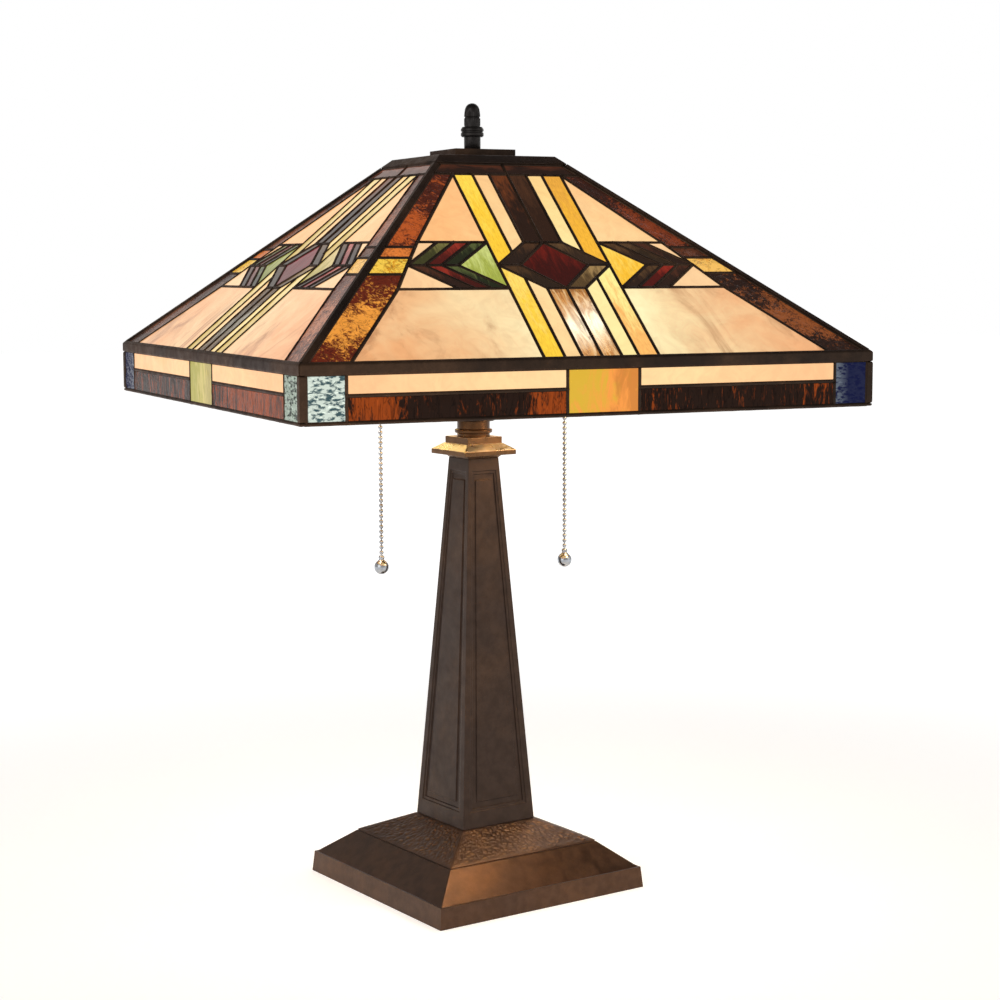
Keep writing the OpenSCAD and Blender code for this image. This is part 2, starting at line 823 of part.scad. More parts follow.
// a string of beads on a thin link, turned as one piece
module bead_chain() {
    count = floor((chain_high_z - chain_low_z - bead_d) / bead_pitch) + 1;
    color(nickel) rotate_extrude($fn = 24) polygon(concat(
        [[0, chain_low_z], [link_r, chain_low_z]],
        [
            for (i = [0 : count - 1], a = [-68, -34, 0, 34, 68])
                [bead_r * cos(a), chain_low_z + bead_r + 0.4 + i * bead_pitch + bead_r * sin(a)]
        ],
        [[link_r, chain_high_z], [0, chain_high_z]]
    ));
}

module chain_ball() {
    color(nickel) translate([0, 0, ball_z]) union() {
        sphere(r = ball_r, $fn = 48);
        cylinder(r = ferrule_r, h = ferrule_top);
    }
}

module chain_right() { at_chain(0) bead_chain(); }
module chain_left() { at_chain(1) bead_chain(); }
module ball_right() { at_chain(0) chain_ball(); }
module ball_left() { at_chain(1) chain_ball(); }

// screw base: contact tip, insulator cone and threaded shell
module bulb_base() {
    r = screw_d / 2;
    color(nickel) translate([0, 0, bulb_tip]) rotate_extrude() polygon([
        [0, 0], [3.6, 0], [4.6, 1.4], [9.6, 4.4], [r - 0.8, 5.6], [r, 7], [r - 0.9, 9], [r, 11],
        [r - 0.9, 13], [r, 15], [r - 0.9, 17], [r, 19], [r - 0.4, 20.5],
        [r - 0.4, bulb_base_len], [0, bulb_base_len]
    ]);
}

// turned profile of the bulb at a distance off its outer face
function globe_profile(off) = concat(
    [[bulb_neck_r - off, bulb_neck], [bulb_neck_r - off, bulb_neck + 4]],
    [
        for (a = [-50 : 10 : 90])
            [(globe_d / 2 - off) * cos(a), globe_at + (globe_d / 2 - off) * sin(a)]
    ]
);

module bulb_glass() {
    outside = globe_profile(0);
    inside = globe_profile(globe_wall);
    last = len(inside) - 1;
    color("#fff3d6") rotate_extrude() polygon(concat(
        outside, [for (i = [last : -1 : 0]) inside[i]]
    ));
}

module bulb_glass_right() { on_arm(0) bulb_glass(); }
module bulb_glass_left() { on_arm(1) bulb_glass(); }
module bulb_base_right() { on_arm(0) bulb_base(); }
module bulb_base_left() { on_arm(1) bulb_base(); }

base_casting();
base_cover();
cord_bushing();
column();
column_collar();
neck_tube();
center_pipe();
pipe_nut();
pipe_washer();
cluster_hub();
socket_arms();
socket_caps();
socket_shells();
socket_insulators();
screw_shells();
chain_bells();
riser_rod();
check_nut();
seat_washer();
crown_cap();
crown_boss();
crown_bars();
roof_came();
hip_bars();
rim_bars();
skirt_came();
corner_bars();
bottom_bars();
glass_top_bands();
glass_dark_strips();
glass_wispy_strips();
glass_yellow_strips();
glass_cream_strips();
glass_upper_panels();
glass_lower_panels();
glass_green_triangles();
glass_yellow_triangles();
glass_green_chevrons();
glass_red_chevrons();
glass_brown_chevrons();
glass_tip_triangles();
glass_red_diamonds();
glass_diamond_borders();
glass_hip_upper();
glass_hip_squares();
glass_hip_lower();
glass_skirt_beige();
glass_skirt_brown();
glass_skirt_squares();
glass_skirt_corners();
finial();
chain_right();
ball_right();
chain_left();
ball_left();
bulb_glass_right();
bulb_base_right();
bulb_glass_left();
bulb_base_left();
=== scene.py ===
"""Looks of the stained glass table lamp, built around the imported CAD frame. Units: metres."""

import math

import bmesh
import bpy
import numpy as np
from mathutils import Matrix, Vector, noise


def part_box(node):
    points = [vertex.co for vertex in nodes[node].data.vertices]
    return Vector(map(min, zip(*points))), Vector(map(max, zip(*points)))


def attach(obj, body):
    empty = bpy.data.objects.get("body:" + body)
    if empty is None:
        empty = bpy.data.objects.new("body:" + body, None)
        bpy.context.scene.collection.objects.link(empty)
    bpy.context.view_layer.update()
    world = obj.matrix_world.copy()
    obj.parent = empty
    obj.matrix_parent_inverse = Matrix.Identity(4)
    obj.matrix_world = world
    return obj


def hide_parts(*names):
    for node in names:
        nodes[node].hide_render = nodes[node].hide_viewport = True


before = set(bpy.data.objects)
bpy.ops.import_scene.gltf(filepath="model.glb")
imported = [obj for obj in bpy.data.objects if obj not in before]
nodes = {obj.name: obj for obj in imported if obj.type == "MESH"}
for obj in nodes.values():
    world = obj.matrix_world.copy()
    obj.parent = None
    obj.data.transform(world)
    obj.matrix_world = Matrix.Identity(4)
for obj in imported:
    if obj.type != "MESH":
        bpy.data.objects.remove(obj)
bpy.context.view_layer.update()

MM = 0.001

# ---------------------------------------------------------------- camera

CAMERA_PLACE = (-0.8330, -1.2363, 0.45025)
CAMERA_PITCH = math.radians(90 - 6.47)
CAMERA_YAW = math.radians(-34.7)
CAMERA_ROLL = math.radians(-0.16)
CAMERA_LENS = 74.63  # mm, on the sensor width below
CAMERA_SENSOR = 36

camera = bpy.data.objects.new("camera", bpy.data.cameras.new("camera"))
bpy.context.scene.collection.objects.link(camera)
camera.data.lens = CAMERA_LENS
camera.data.sensor_width = CAMERA_SENSOR
camera.data.clip_end = 50
camera.matrix_world = (
    Matrix.Translation(CAMERA_PLACE)
    @ Matrix.Rotation(CAMERA_YAW, 4, "Z")
    @ Matrix.Rotation(CAMERA_PITCH, 4, "X")
    @ Matrix.Rotation(CAMERA_ROLL, 4, "Z")
)
bpy.context.scene.camera = camera
bpy.context.scene.view_settings.view_transform = "Standard"

# ---------------------------------------------------------------- colours and nodes


def srgb(r, g, b):
    """A colour in 0..255 display values as linear light."""
    return tuple(
        c / 255 / 12.92 if c / 255 <= 0.04045 else ((c / 255 + 0.055) / 1.055) ** 2.4
        for c in (r, g, b)
    )


class Look:
    """A procedural material under construction."""

    def __init__(self, name):
        self.material = bpy.data.materials.new(name)
        self.material.use_nodes = True
        self.tree = self.material.node_tree
        self.shader = self.tree.nodes["Principled BSDF"]
        self.output = self.tree.nodes["Material Output"]

    def node(self, kind, **settings):
        n = self.tree.nodes.new(kind)
        for key, value in settings.items():
            setattr(n, key, value)
        return n

    def put(self, socket, value):
        """Link a socket to a node's output, or set it to a constant."""
        if isinstance(value, bpy.types.NodeSocket):
            self.tree.links.new(value, socket)
        elif isinstance(value, tuple) and len(value) == 3 and socket.type == "RGBA":
            socket.default_value = (*value, 1)
        else:
            socket.default_value = value

    def set(self, **inputs):
        """Fill the shader's inputs, named with underscores for spaces."""
        for key, value in inputs.items():
            self.put(self.shader.inputs[key.replace("_", " ")], value)
        return self

    def place(self, scale=(1, 1, 1), turn=0.0, shift=(0, 0, 0), uv=False):
        """Object coordinates, or a glass plate's own plane, stretched and turned."""
        coords = self.node("ShaderNodeTexCoord")
        mapping = self.node("ShaderNodeMapping")
        mapping.inputs["Scale"].default_value = scale
        mapping.inputs["Rotation"].default_value = (0, 0, turn)
        mapping.inputs["Location"].default_value = shift
        self.tree.links.new(coords.outputs["UV" if uv else "Object"], mapping.inputs[0])
        return mapping.outputs[0]

    def noise(self, where, scale, detail=3.0, rough=0.55, distort=0.0):
        n = self.node("ShaderNodeTexNoise")
        self.put(n.inputs["Vector"], where)
        n.inputs["Scale"].default_value = scale
        n.inputs["Detail"].default_value = detail
        n.inputs["Roughness"].default_value = rough
        n.inputs["Distortion"].default_value = distort
        return n.outputs["Fac"]

    def cells(self, where, scale):
        n = self.node("ShaderNodeTexVoronoi")
        self.put(n.inputs["Vector"], where)
        n.inputs["Scale"].default_value = scale
        return n.outputs["Distance"]

    def math(self, op, a, b=0.0, clamp=False):
        n = self.node("ShaderNodeMath", operation=op, use_clamp=clamp)
        self.put(n.inputs[0], a)
        self.put(n.inputs[1], b)
        return n.outputs[0]

    def clamp(self, value):
        return self.math("ADD", value, 0.0, True)

    def centred(self, value, amount):
        """A 0 to 1 value moved to lie about nought, times an amount."""
        return self.math("MULTIPLY", self.math("SUBTRACT", value, 0.5), amount)

    def span(self, value, low, high, to_low=0.0, to_high=1.0):
        """A smooth step from one range to another."""
        n = self.node("ShaderNodeMapRange", interpolation_type="SMOOTHSTEP")
        self.put(n.inputs["Value"], value)
        n.inputs["From Min"].default_value = low
        n.inputs["From Max"].default_value = high
        n.inputs["To Min"].default_value = to_low
        n.inputs["To Max"].default_value = to_high
        return n.outputs[0]

    def mix(self, share, a, b, blend="MIX"):
        n = self.node("ShaderNodeMix", data_type="RGBA", blend_type=blend)
        self.put(n.inputs[0], share)
        self.put(n.inputs[6], a)
        self.put(n.inputs[7], b)
        return n.outputs[2]

    def gain(self, colour, amount):
        n = self.node("ShaderNodeVectorMath", operation="SCALE")
        self.put(n.inputs[0], colour)
        self.put(n.inputs["Scale"], amount)
        return n.outputs[0]

    def attribute(self, name, part="Color"):
        n = self.node("ShaderNodeAttribute", attribute_type="GEOMETRY", attribute_name=name)
        return n.outputs[part]

    def tone(self):
        """Near share, random value and gain of a glass point, and its place along the cell."""
        split = self.node("ShaderNodeSeparateColor")
        source = self.node("ShaderNodeAttribute", attribute_type="GEOMETRY", attribute_name="tone")
        self.tree.links.new(source.outputs["Color"], split.inputs[0])
        return (*split.outputs[:3], source.outputs["Alpha"])

    def bump(self, height, strength, distance):
        n = self.node("ShaderNodeBump")
        n.inputs["Strength"].default_value = strength
        n.inputs["Distance"].default_value = distance
        self.put(n.inputs["Height"], height)
        self.put(self.shader.inputs["Normal"], n.outputs[0])
        return self


# ---------------------------------------------------------------- metal, felt and plastic


def metal(name, deep, worn, roughness, metallic=1.0, grain=120, wear=(0.45, 0.75), bump=0.15,
          patch=14, tops=None, upright=None, edge=(1, 1, 1)):
    """Cast or turned metal with a mottled patina, fine grain and slightly uneven gloss.

    tops is the colour of raised tops, rubbed bronze with a painted highlight; upright is that
    of upright faces, a painted shade away from the light above; and edge the tint of the
    reflection at a flat angle.
    """
    look = Look(name)
    where = look.place()
    blotch = look.noise(where, patch, 4, 0.6, 0.4)
    grit = look.noise(where, grain * 8, 2, 0.5)
    share = look.span(look.math("ADD", blotch, look.math("MULTIPLY", grit, 0.15)), *wear)
    colour = look.mix(share, deep, worn)
    shade = look.span(look.noise(where, grain, 3), 0.3, 0.7, 0.86, 1.12)
    # Painted shade: faces that turn away from the light above take the darker upright colour.
    if upright:
        lean = look.node("ShaderNodeSeparateXYZ")
        look.put(lean.inputs[0], look.node("ShaderNodeNewGeometry").outputs["Normal"])
        colour = look.mix(look.span(lean.outputs["Z"], 0.15, 0.55), upright, colour)
    # Raised tops take the tops colour: rubbed bronze and a painted highlight.
    if tops:
        colour = look.mix(look.span(look.attribute("worn", "Fac"), 0.45, 1.0), colour, tops)
    look.set(
        Base_Color=look.gain(colour, shade),
        Metallic=metallic,
        Specular_Tint=edge,
        Roughness=look.span(look.noise(where, grain * 0.6, 4), 0.3, 0.7,
                            roughness * 0.82, roughness * 1.2),
    )
    return look.bump(look.noise(where, grain * 6, 3, 0.6), bump, 0.0004).material


BASE_BRONZE = metal("base_bronze", srgb(76, 57, 46), srgb(94, 67, 48), 0.34, 0.88, 150,
                    (0.4, 0.9))
# Its tops colour marks the pebbles' raised tops: rubbed bronze and a painted highlight.
HAMMERED_BRONZE = metal("hammered_bronze", srgb(76, 58, 48), srgb(96, 72, 56), 0.36, 0.88, 200,
                        (0.4, 0.8), patch=50, tops=srgb(116, 87, 61))
COLUMN_BRONZE = metal("column_bronze", srgb(62, 49, 42), srgb(78, 59, 46), 0.38, 0.85, 150,
                      (0.5, 0.85))
# The collar: its pale colours are a painted highlight of the bulbs' light on the up-facing slopes,
# and its upright faces take a painted shade.
COPPER_BRONZE = metal("copper_bronze", srgb(202, 192, 176), srgb(226, 216, 200), 0.3, 1.0, 180,
                      upright=srgb(104, 76, 52))
NECK_BRONZE = metal("neck_bronze", srgb(66, 46, 30), srgb(98, 68, 44), 0.3, 0.95, 180)
BRASS = metal("brass", srgb(158, 128, 74), srgb(190, 158, 98), 0.28, 1.0, 180)
NICKEL = metal("nickel", srgb(150, 154, 160), srgb(184, 188, 194), 0.18, 1.0, 260, (0.3, 0.8), 0.05)
SCREW = metal("screw_base", srgb(182, 178, 168), srgb(206, 201, 190), 0.3, 1.0, 200)
LEAD = metal("lead", srgb(38, 29, 24), srgb(74, 54, 40), 0.42, 0.5, 220, (0.42, 0.8), 0.35,
             edge=srgb(190, 170, 156))
FINIAL_BLACK = metal("finial_black", srgb(34, 31, 30), srgb(58, 52, 48), 0.3, 0.7, 240,
                     (0.5, 0.85), 0.2)


def felt():
    """Green felt with short fibres."""
    look = Look("felt")
    where = look.place()
    fibre = look.noise(where, 2600, 4, 0.7, 1.2)
    look.set(
        Base_Color=look.mix(look.span(fibre, 0.3, 0.7), srgb(26, 44, 33), srgb(52, 78, 60)),
        Roughness=0.95,
        Sheen_Weight=0.5,
    )
    return look.bump(fibre, 0.6, 0.0006).material


def moulded(name, low, high, roughness):
    """Moulded plastic or fibre with a fine grain."""
    look = Look(name)
    where = look.place()
    grain = look.noise(where, 900, 3)
    look.set(
        Base_Color=look.mix(look.span(grain, 0.3, 0.7), low, high),
        Roughness=look.span(look.noise(where, 150, 3), 0.3, 0.7, roughness * 0.85,
                            roughness * 1.2),
    )
    return look.bump(grain, 0.2, 0.0002).material


FELT = felt()
BLACK_PLASTIC = moulded("black_plastic", srgb(24, 23, 22), srgb(40, 38, 36), 0.42)
INSULATOR = moulded("insulator", srgb(120, 112, 100), srgb(150, 142, 128), 0.7)


def bulb_look():
    """Frosted bulb: a warm white glow with a faint haze."""
    look = Look("bulb_glass")
    where = look.place()
    haze = look.span(look.noise(where, 60, 3), 0.3, 0.7, 0.92, 1.05)
    look.set(
        Base_Color=look.gain(look.mix(0.5, srgb(255, 244, 224), srgb(255, 250, 240)), haze),
        Roughness=0.35,
        Emission_Color=look.gain(look.mix(0.5, srgb(255, 232, 190), srgb(255, 244, 220)), haze),
        Emission_Strength=7.0,
    )
    return look.material


BULB = bulb_look()

# ---------------------------------------------------------------- glass looks


LAMP_TINT = (1.24, 1.12, 1.0)  # the warm light of the bulbs, on the glass colours
SKIRT_SHINE = 0.05  # the skirt hardly mirrors the room, as it stands upright


def finish_glass(look, colour, gloss=0.1, glow=0.68, body=0.4, relief=None, relief_size=0.0004,
                 clear=None, shine=0.5):
    """Lit art glass: the lamp's light in the glass, its own body colour and a glossy face."""
    gain = look.tone()[2]
    lit = look.mix(1.0, colour, LAMP_TINT, "MULTIPLY")
    look.set(
        Base_Color=look.gain(colour, body),
        Specular_IOR_Level=shine,
        Emission_Color=look.gain(lit, gain),
        Emission_Strength=glow,
        Roughness=gloss,
    )
    where = look.place()
    if relief is None:
        relief = look.noise(where, 70, 2, 0.5, 0.6)
    look.bump(relief, 0.35, relief_size)
    if clear is not None:
        see = look.node("ShaderNodeBsdfTransparent")
        see.inputs[0].default_value = (1, 0.93, 0.82, 1)
        both = look.node("ShaderNodeMixShader")
        look.put(both.inputs[0], clear)
        look.tree.links.new(look.shader.outputs[0], both.inputs[1])
        look.tree.links.new(see.outputs[0], both.inputs[2])
        look.tree.links.new(both.outputs[0], look.output.inputs["Surface"])
    return look.material


def opal(name, smoke=0.0, stretch=(1, 1, 1), turn=0.0, shine=0.5):
    """Milky opalescent sheet: soft clouds, fine wisps and, where wanted, smoky swirls."""
    look = Look(name)
    near = look.tone()[0]
    where = look.place(stretch, turn, uv=True)
    cloud = look.noise(where, 16, 5, 0.55, 1.6)
    wisp = look.noise(where, 60, 4, 0.6, 2.2)
    # The brighter tint comes in with near, the bulbs' painted glow, and with the clouds.
    share = look.math("ADD", near, look.centred(cloud, 0.9))
    colour = look.mix(look.clamp(share), look.attribute("tint"), look.attribute("tint2"))
    colour = look.gain(colour, look.span(wisp, 0.3, 0.7, 0.94, 1.04))
    if smoke:
        swirl = look.noise(look.place((2.4, 1, 1), 0.3, (0.3, 0.1, 0), True), 9, 6, 0.62, 1.8)
        veil = look.math("MULTIPLY", look.span(swirl, 0.47, 0.74), smoke)
        fade = look.math("MULTIPLY", veil, look.span(near, 0.2, 0.9, 1.0, 0.25))
        colour = look.mix(fade, colour, srgb(168, 118, 82))
    return finish_glass(look, colour, shine=shine)


def streaky(name, scale=60, stretch=(4, 1, 1), low=0.35, high=0.7, glow=0.55, gloss=0.08):
    """Streaky cathedral glass: two colours drawn along the cell."""
    look = Look(name)
    grad = look.tone()[3]
    where = look.place(stretch, uv=True)
    streak = look.noise(where, scale, 4, 0.6, 1.0)
    fine = look.noise(where, scale * 5, 3, 0.6)
    share = look.span(look.math("ADD", streak, look.centred(grad, 0.5)), low, high)
    colour = look.mix(share, look.attribute("tint"), look.attribute("tint2"))
    colour = look.gain(colour, look.span(fine, 0.3, 0.7, 0.86, 1.1))
    return finish_glass(look, colour, gloss, glow)


def mottled(name, scale=190, low=0.3, high=0.8, glow=0.62, stretch=(1, 1, 1), turn=0.5,
            shine=0.5):
    """Rippled amber glass: bright specks between dark folds."""
    look = Look(name)
    where = look.place(stretch, turn, uv=True)
    patch = look.noise(look.place(stretch, uv=True), 34, 4, 0.65, 1.6)
    fold = look.noise(where, scale, 4, 0.7, 2.0)
    both = look.math("ADD", look.math("MULTIPLY", look.span(patch, 0.35, 0.65), 0.4),
                     look.math("MULTIPLY", look.span(fold, 0.35, 0.65), 0.6))
    share = look.span(look.math("ADD", both, look.centred(look.tone()[0], 0.8)), low, high)
    colour = look.mix(share, look.attribute("tint"), look.attribute("tint2"))
    spark = look.span(look.noise(where, scale * 1.7, 2, 0.5, 1.0), 0.62, 0.8)
    colour = look.mix(look.math("MULTIPLY", spark, share), colour,
                      look.gain(look.attribute("tint2"), 1.5))
    crack = look.math("SUBTRACT", look.noise(where, scale * 0.7, 3, 0.6, 1.2), 0.5)
    colour = look.gain(colour, look.span(look.math("ABSOLUTE", crack), 0.0, 0.04, 0.5, 1.0))
    return finish_glass(look, colour, 0.1, glow, relief=fold, relief_size=0.0008, shine=shine)


def wispy():
    """Nearly clear glass with white wisps and amber edges; the bulbs show through it."""
    look = Look("wispy_strips")
    near = look.tone()[0]
    where = look.place((5, 1, 1), 0.1, uv=True)
    wisp = look.noise(where, 26, 5, 0.6, 2.4)
    tan = look.mix(look.span(wisp, 0.4, 0.7), look.attribute("tint"), srgb(236, 200, 140))
    edge = look.span(look.noise(where, 90, 3, 0.6, 1.0), 0.4, 0.6, 0.0, 0.5)
    tan = look.mix(edge, tan, srgb(226, 168, 84))
    # The white is the glass's wisps and, where the bulbs stand behind, their painted glow.
    white = look.gain(look.attribute("tint2"), look.span(wisp, 0.35, 0.6, 0.8, 1.5))
    colour = look.mix(look.math("ADD", near, look.centred(wisp, 0.8), True), tan, white)
    clear = look.math("MULTIPLY", look.span(wisp, 0.62, 0.4), 0.22)
    return finish_glass(look, colour, 0.08, 0.72, 0.25, clear=clear)


def hammered():
    """Coarse hammered glass with hard bright and dark facets."""
    look = Look("skirt_corners")
    near = look.tone()[0]
    where = look.place((0.8, 1.7, 1), uv=True)
    cell = look.cells(where, 300)
    patch = look.noise(where, 240, 3, 0.7, 0.8)
    share = look.span(look.math("ADD", look.math("MULTIPLY", cell, 0.25),
                                look.math("MULTIPLY", patch, 0.8)), 0.44, 0.58)
    fleck = look.span(look.noise(where, 380, 2, 0.5, 0.8), 0.58, 0.66)
    bright = look.mix(fleck, look.attribute("tint2"), look.gain(look.attribute("tint2"), 1.35))
    colour = look.mix(look.math("MULTIPLY", share, near), look.attribute("tint"), bright)
    return finish_glass(look, colour, 0.1, 0.66, relief=cell, relief_size=0.0012,
                        shine=SKIRT_SHINE)


def swirl_square():
    """Yellow glass with a diagonal swirl that turns orange and red across the square."""
    look = Look("skirt_squares")
    near = look.tone()[0]
    slant = look.place((2.1, 0.7, 1), -0.5, uv=True)
    band = look.noise(slant, 46, 5, 0.6, 1.5)
    turnover = look.math("ADD", look.math("MULTIPLY", near, 0.26), look.math("MULTIPLY", band, 0.8))
    colour = look.mix(look.span(turnover, 0.4, 0.66), look.attribute("tint"),
                      look.attribute("tint2"))
    red = look.span(look.math("MULTIPLY", look.noise(slant, 60, 4, 0.6, 0.8), near), 0.3, 0.5)
    colour = look.mix(look.math("MULTIPLY", red, 0.75), colour,
                      look.gain(look.attribute("tint2"), 0.62))
    return finish_glass(look, colour, 0.1, 0.62, shine=SKIRT_SHINE)


OPAL = opal("opal")
SKIRT_OPAL = opal("skirt_opal", shine=SKIRT_SHINE)
SMOKY = opal("smoky_opal", 0.9)
YELLOW = streaky("yellow_glass", 40, (5, 1, 1), 0.35, 0.75, 0.7, 0.1)
DARK = streaky("dark_glass", 50, (4, 1, 1), 0.42, 0.8)
BAND = streaky("band_glass", 50, (1, 3, 1), 0.42, 0.8)
AMBER = mottled("amber_glass")
FOLDED = mottled("folded_brown_glass", 80, 0.3, 0.85, 0.6, (3.4, 0.6, 1), 0.0, SKIRT_SHINE)

# ---------------------------------------------------------------- the shade's planes

SHADE_TURN = math.radians(-9.9)  # how the record says the shade rests on the lamp
SHADE_HALF = 203.2 * MM  # from the axis to the roof plane's lower edge
CROWN_HALF = 43.85 * MM  # and to its upper one
RIM_Z = 391.9 * MM
CROWN_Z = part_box("crown_cap")[1][2]
SKIRT_OUT = 203.0 * MM  # from the axis to the skirt's plane
ROOF_ANGLE = math.atan2(CROWN_Z - RIM_Z, SHADE_HALF - CROWN_HALF)
GLASS_T = 2.8 * MM  # thickness of the glass plates
GLASS_TUCK = 0.45 * MM  # how far a plate reaches past the CAD glass, under the solder
KEYS_PER_M = 1e5  # outline points are told apart to a hundredth of a millimetre
OFF_GRID = 0.013  # keeps the dicing planes off the outlines' own points
FACES_OUT = 0.999  # least cosine to a face's axis of the glass's outer side
FACE_REACH = 4 * MM  # the outer sides of this face's glass lie this near its plane
STRAIGHT = 0.01  # a corner with a smaller sine is no corner


def face_frame(k, skirt):
    """Matrix of face k of the shade: x across it, y up it, z out of it."""
    turn = Matrix.Rotation(SHADE_TURN + k * math.pi / 2, 4, "Z")
    if skirt:
        return turn @ Matrix.Translation((0, -SKIRT_OUT, 0)) @ Matrix.Rotation(math.pi / 2, 4, "X")
    return (turn @ Matrix.Translation((0, -SHADE_HALF, RIM_Z))
            @ Matrix.Rotation(ROOF_ANGLE, 4, "X"))


def outlines(name, skirt):
    """Outlines of a glass node's pieces on face 0, counter-clockwise, and their outer level.

    Edges that two faces share cancel out; the rest are followed round into loops.
    """
    mesh = nodes[name].data
    into = face_frame(0, skirt).inverted()
    points = [into @ v.co for v in mesh.vertices]
    key = [(round(p.x * KEYS_PER_M), round(p.y * KEYS_PER_M)) for p in points]
    edges = {}
    level = 0.0
    for face in mesh.polygons:
        ids = list(face.vertices)
        a, b, c = (points[i] for i in ids[:3])
        normal = (b - a).cross(c - a).normalized()
        if normal.z < FACES_OUT or abs(a.z) > FACE_REACH:
            continue
        level = a.z
        for i, j in zip(ids, ids[1:] + ids[:1]):
            if (key[j], key[i]) in edges:
                del edges[key[j], key[i]]
            else:
                edges[key[i], key[j]] = True
    follow = {a: b for a, b in edges}
    loops = []
    while follow:
        start = at = min(follow)
        loop = []
        while at in follow:
            loop.append(at)
            at = follow.pop(at)
        ring = [Vector((x / KEYS_PER_M, y / KEYS_PER_M)) for x, y in loop]
        kept = [
            p for p, before, after in zip(ring, ring[-1:] + ring[:-1], ring[1:] + ring[:1])
            if abs((p - before).normalized().cross((after - p).normalized())) > STRAIGHT
        ]
        loops.append(kept)
        assert at == start
    return loops, level


def grown(loop, d):
    """An outline moved outwards by d."""
    out = []
    for before, p, after in zip(loop[-1:] + loop[:-1], loop, loop[1:] + loop[:1]):
        a = (p - before).normalized()
        b = (after - p).normalized()
        n, m = Vector((a.y, -a.x)), Vector((b.y, -b.x))
        out.append(p + d * (n + m) / (1 + n.dot(m)))
    return out


def in_order(edge):
    """A border edge's two points in the order of its own face."""
    loop = edge.link_loops[0]
    first, second = loop.vert.index, loop.link_loop_next.vert.index
    return (first, second) if loop.face.normal.z > 0 else (second, first)


def diced(loops, pitch):
    """The outlines cut into a grid: points in the plane, faces, the cell of each point."""
    bm = bmesh.new()
    layer = bm.faces.layers.int.new("cell")
    for i, loop in enumerate(loops):
        face = bm.faces.new([bm.verts.new((p.x, p.y, 0)) for p in loop])
        face[layer] = i
    low = [min(v.co[a] for v in bm.verts) for a in (0, 1)]
    high = [max(v.co[a] for v in bm.verts) for a in (0, 1)]
    for axis in (0, 1):
        normal = [0, 0, 0]
        normal[axis] = 1
        for step in range(math.floor(low[axis] / pitch), math.ceil(high[axis] / pitch) + 1):
            at = [0, 0, 0]
            at[axis] = step * pitch + pitch * OFF_GRID
            bmesh.ops.bisect_plane(bm, geom=bm.verts[:] + bm.edges[:] + bm.faces[:],
                                   plane_co=at, plane_no=normal, dist=1e-6)
    bmesh.ops.triangulate(bm, faces=bm.faces[:])
    bm.verts.ensure_lookup_table()
    points = [(v.co.x, v.co.y) for v in bm.verts]
    cell = [0] * len(points)
    faces = []
    for f in bm.faces:
        ids = [v.index for v in f.verts]
        faces.append(ids if f.normal.z > 0 else ids[::-1])
        for i in ids:
            cell[i] = f[layer]
    border = [in_order(e) for e in bm.edges if len(e.link_faces) == 1]
    bm.free()
    return points, faces, cell, border


def new_piece(name, verts, faces, material, body):
    """A mesh with one material that rides a body of the frame."""
    mesh = bpy.data.meshes.new(name)
    mesh.from_pydata(verts, [], faces)
    mesh.validate()
    mesh.materials.append(material)
    for p in mesh.polygons:
        p.use_smooth = True
    piece = bpy.data.objects.new(name, mesh)
    bpy.context.scene.collection.objects.link(piece)
    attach(piece, body)
    return piece


def cell_random(i, k, salt):
    """A fixed random value for a cell."""
    return noise.cell(Vector((i * 1.37 + 0.5, k * 3.11 + 0.5, salt + 0.5)))


INNER_GAIN = 1.8  # the inner faces see the bulbs
LEFT_FACE = 3
LEFT_NEAR = 0.45  # share of the bulbs' glow that the left face shows
MIDDLE_Y = 92  # mm up a roof face, along the middle of the diamonds
SQUARES_Y = 99  # mm up a roof face, between the two hip squares of a corner
SHARP_GLASS = math.radians(50)


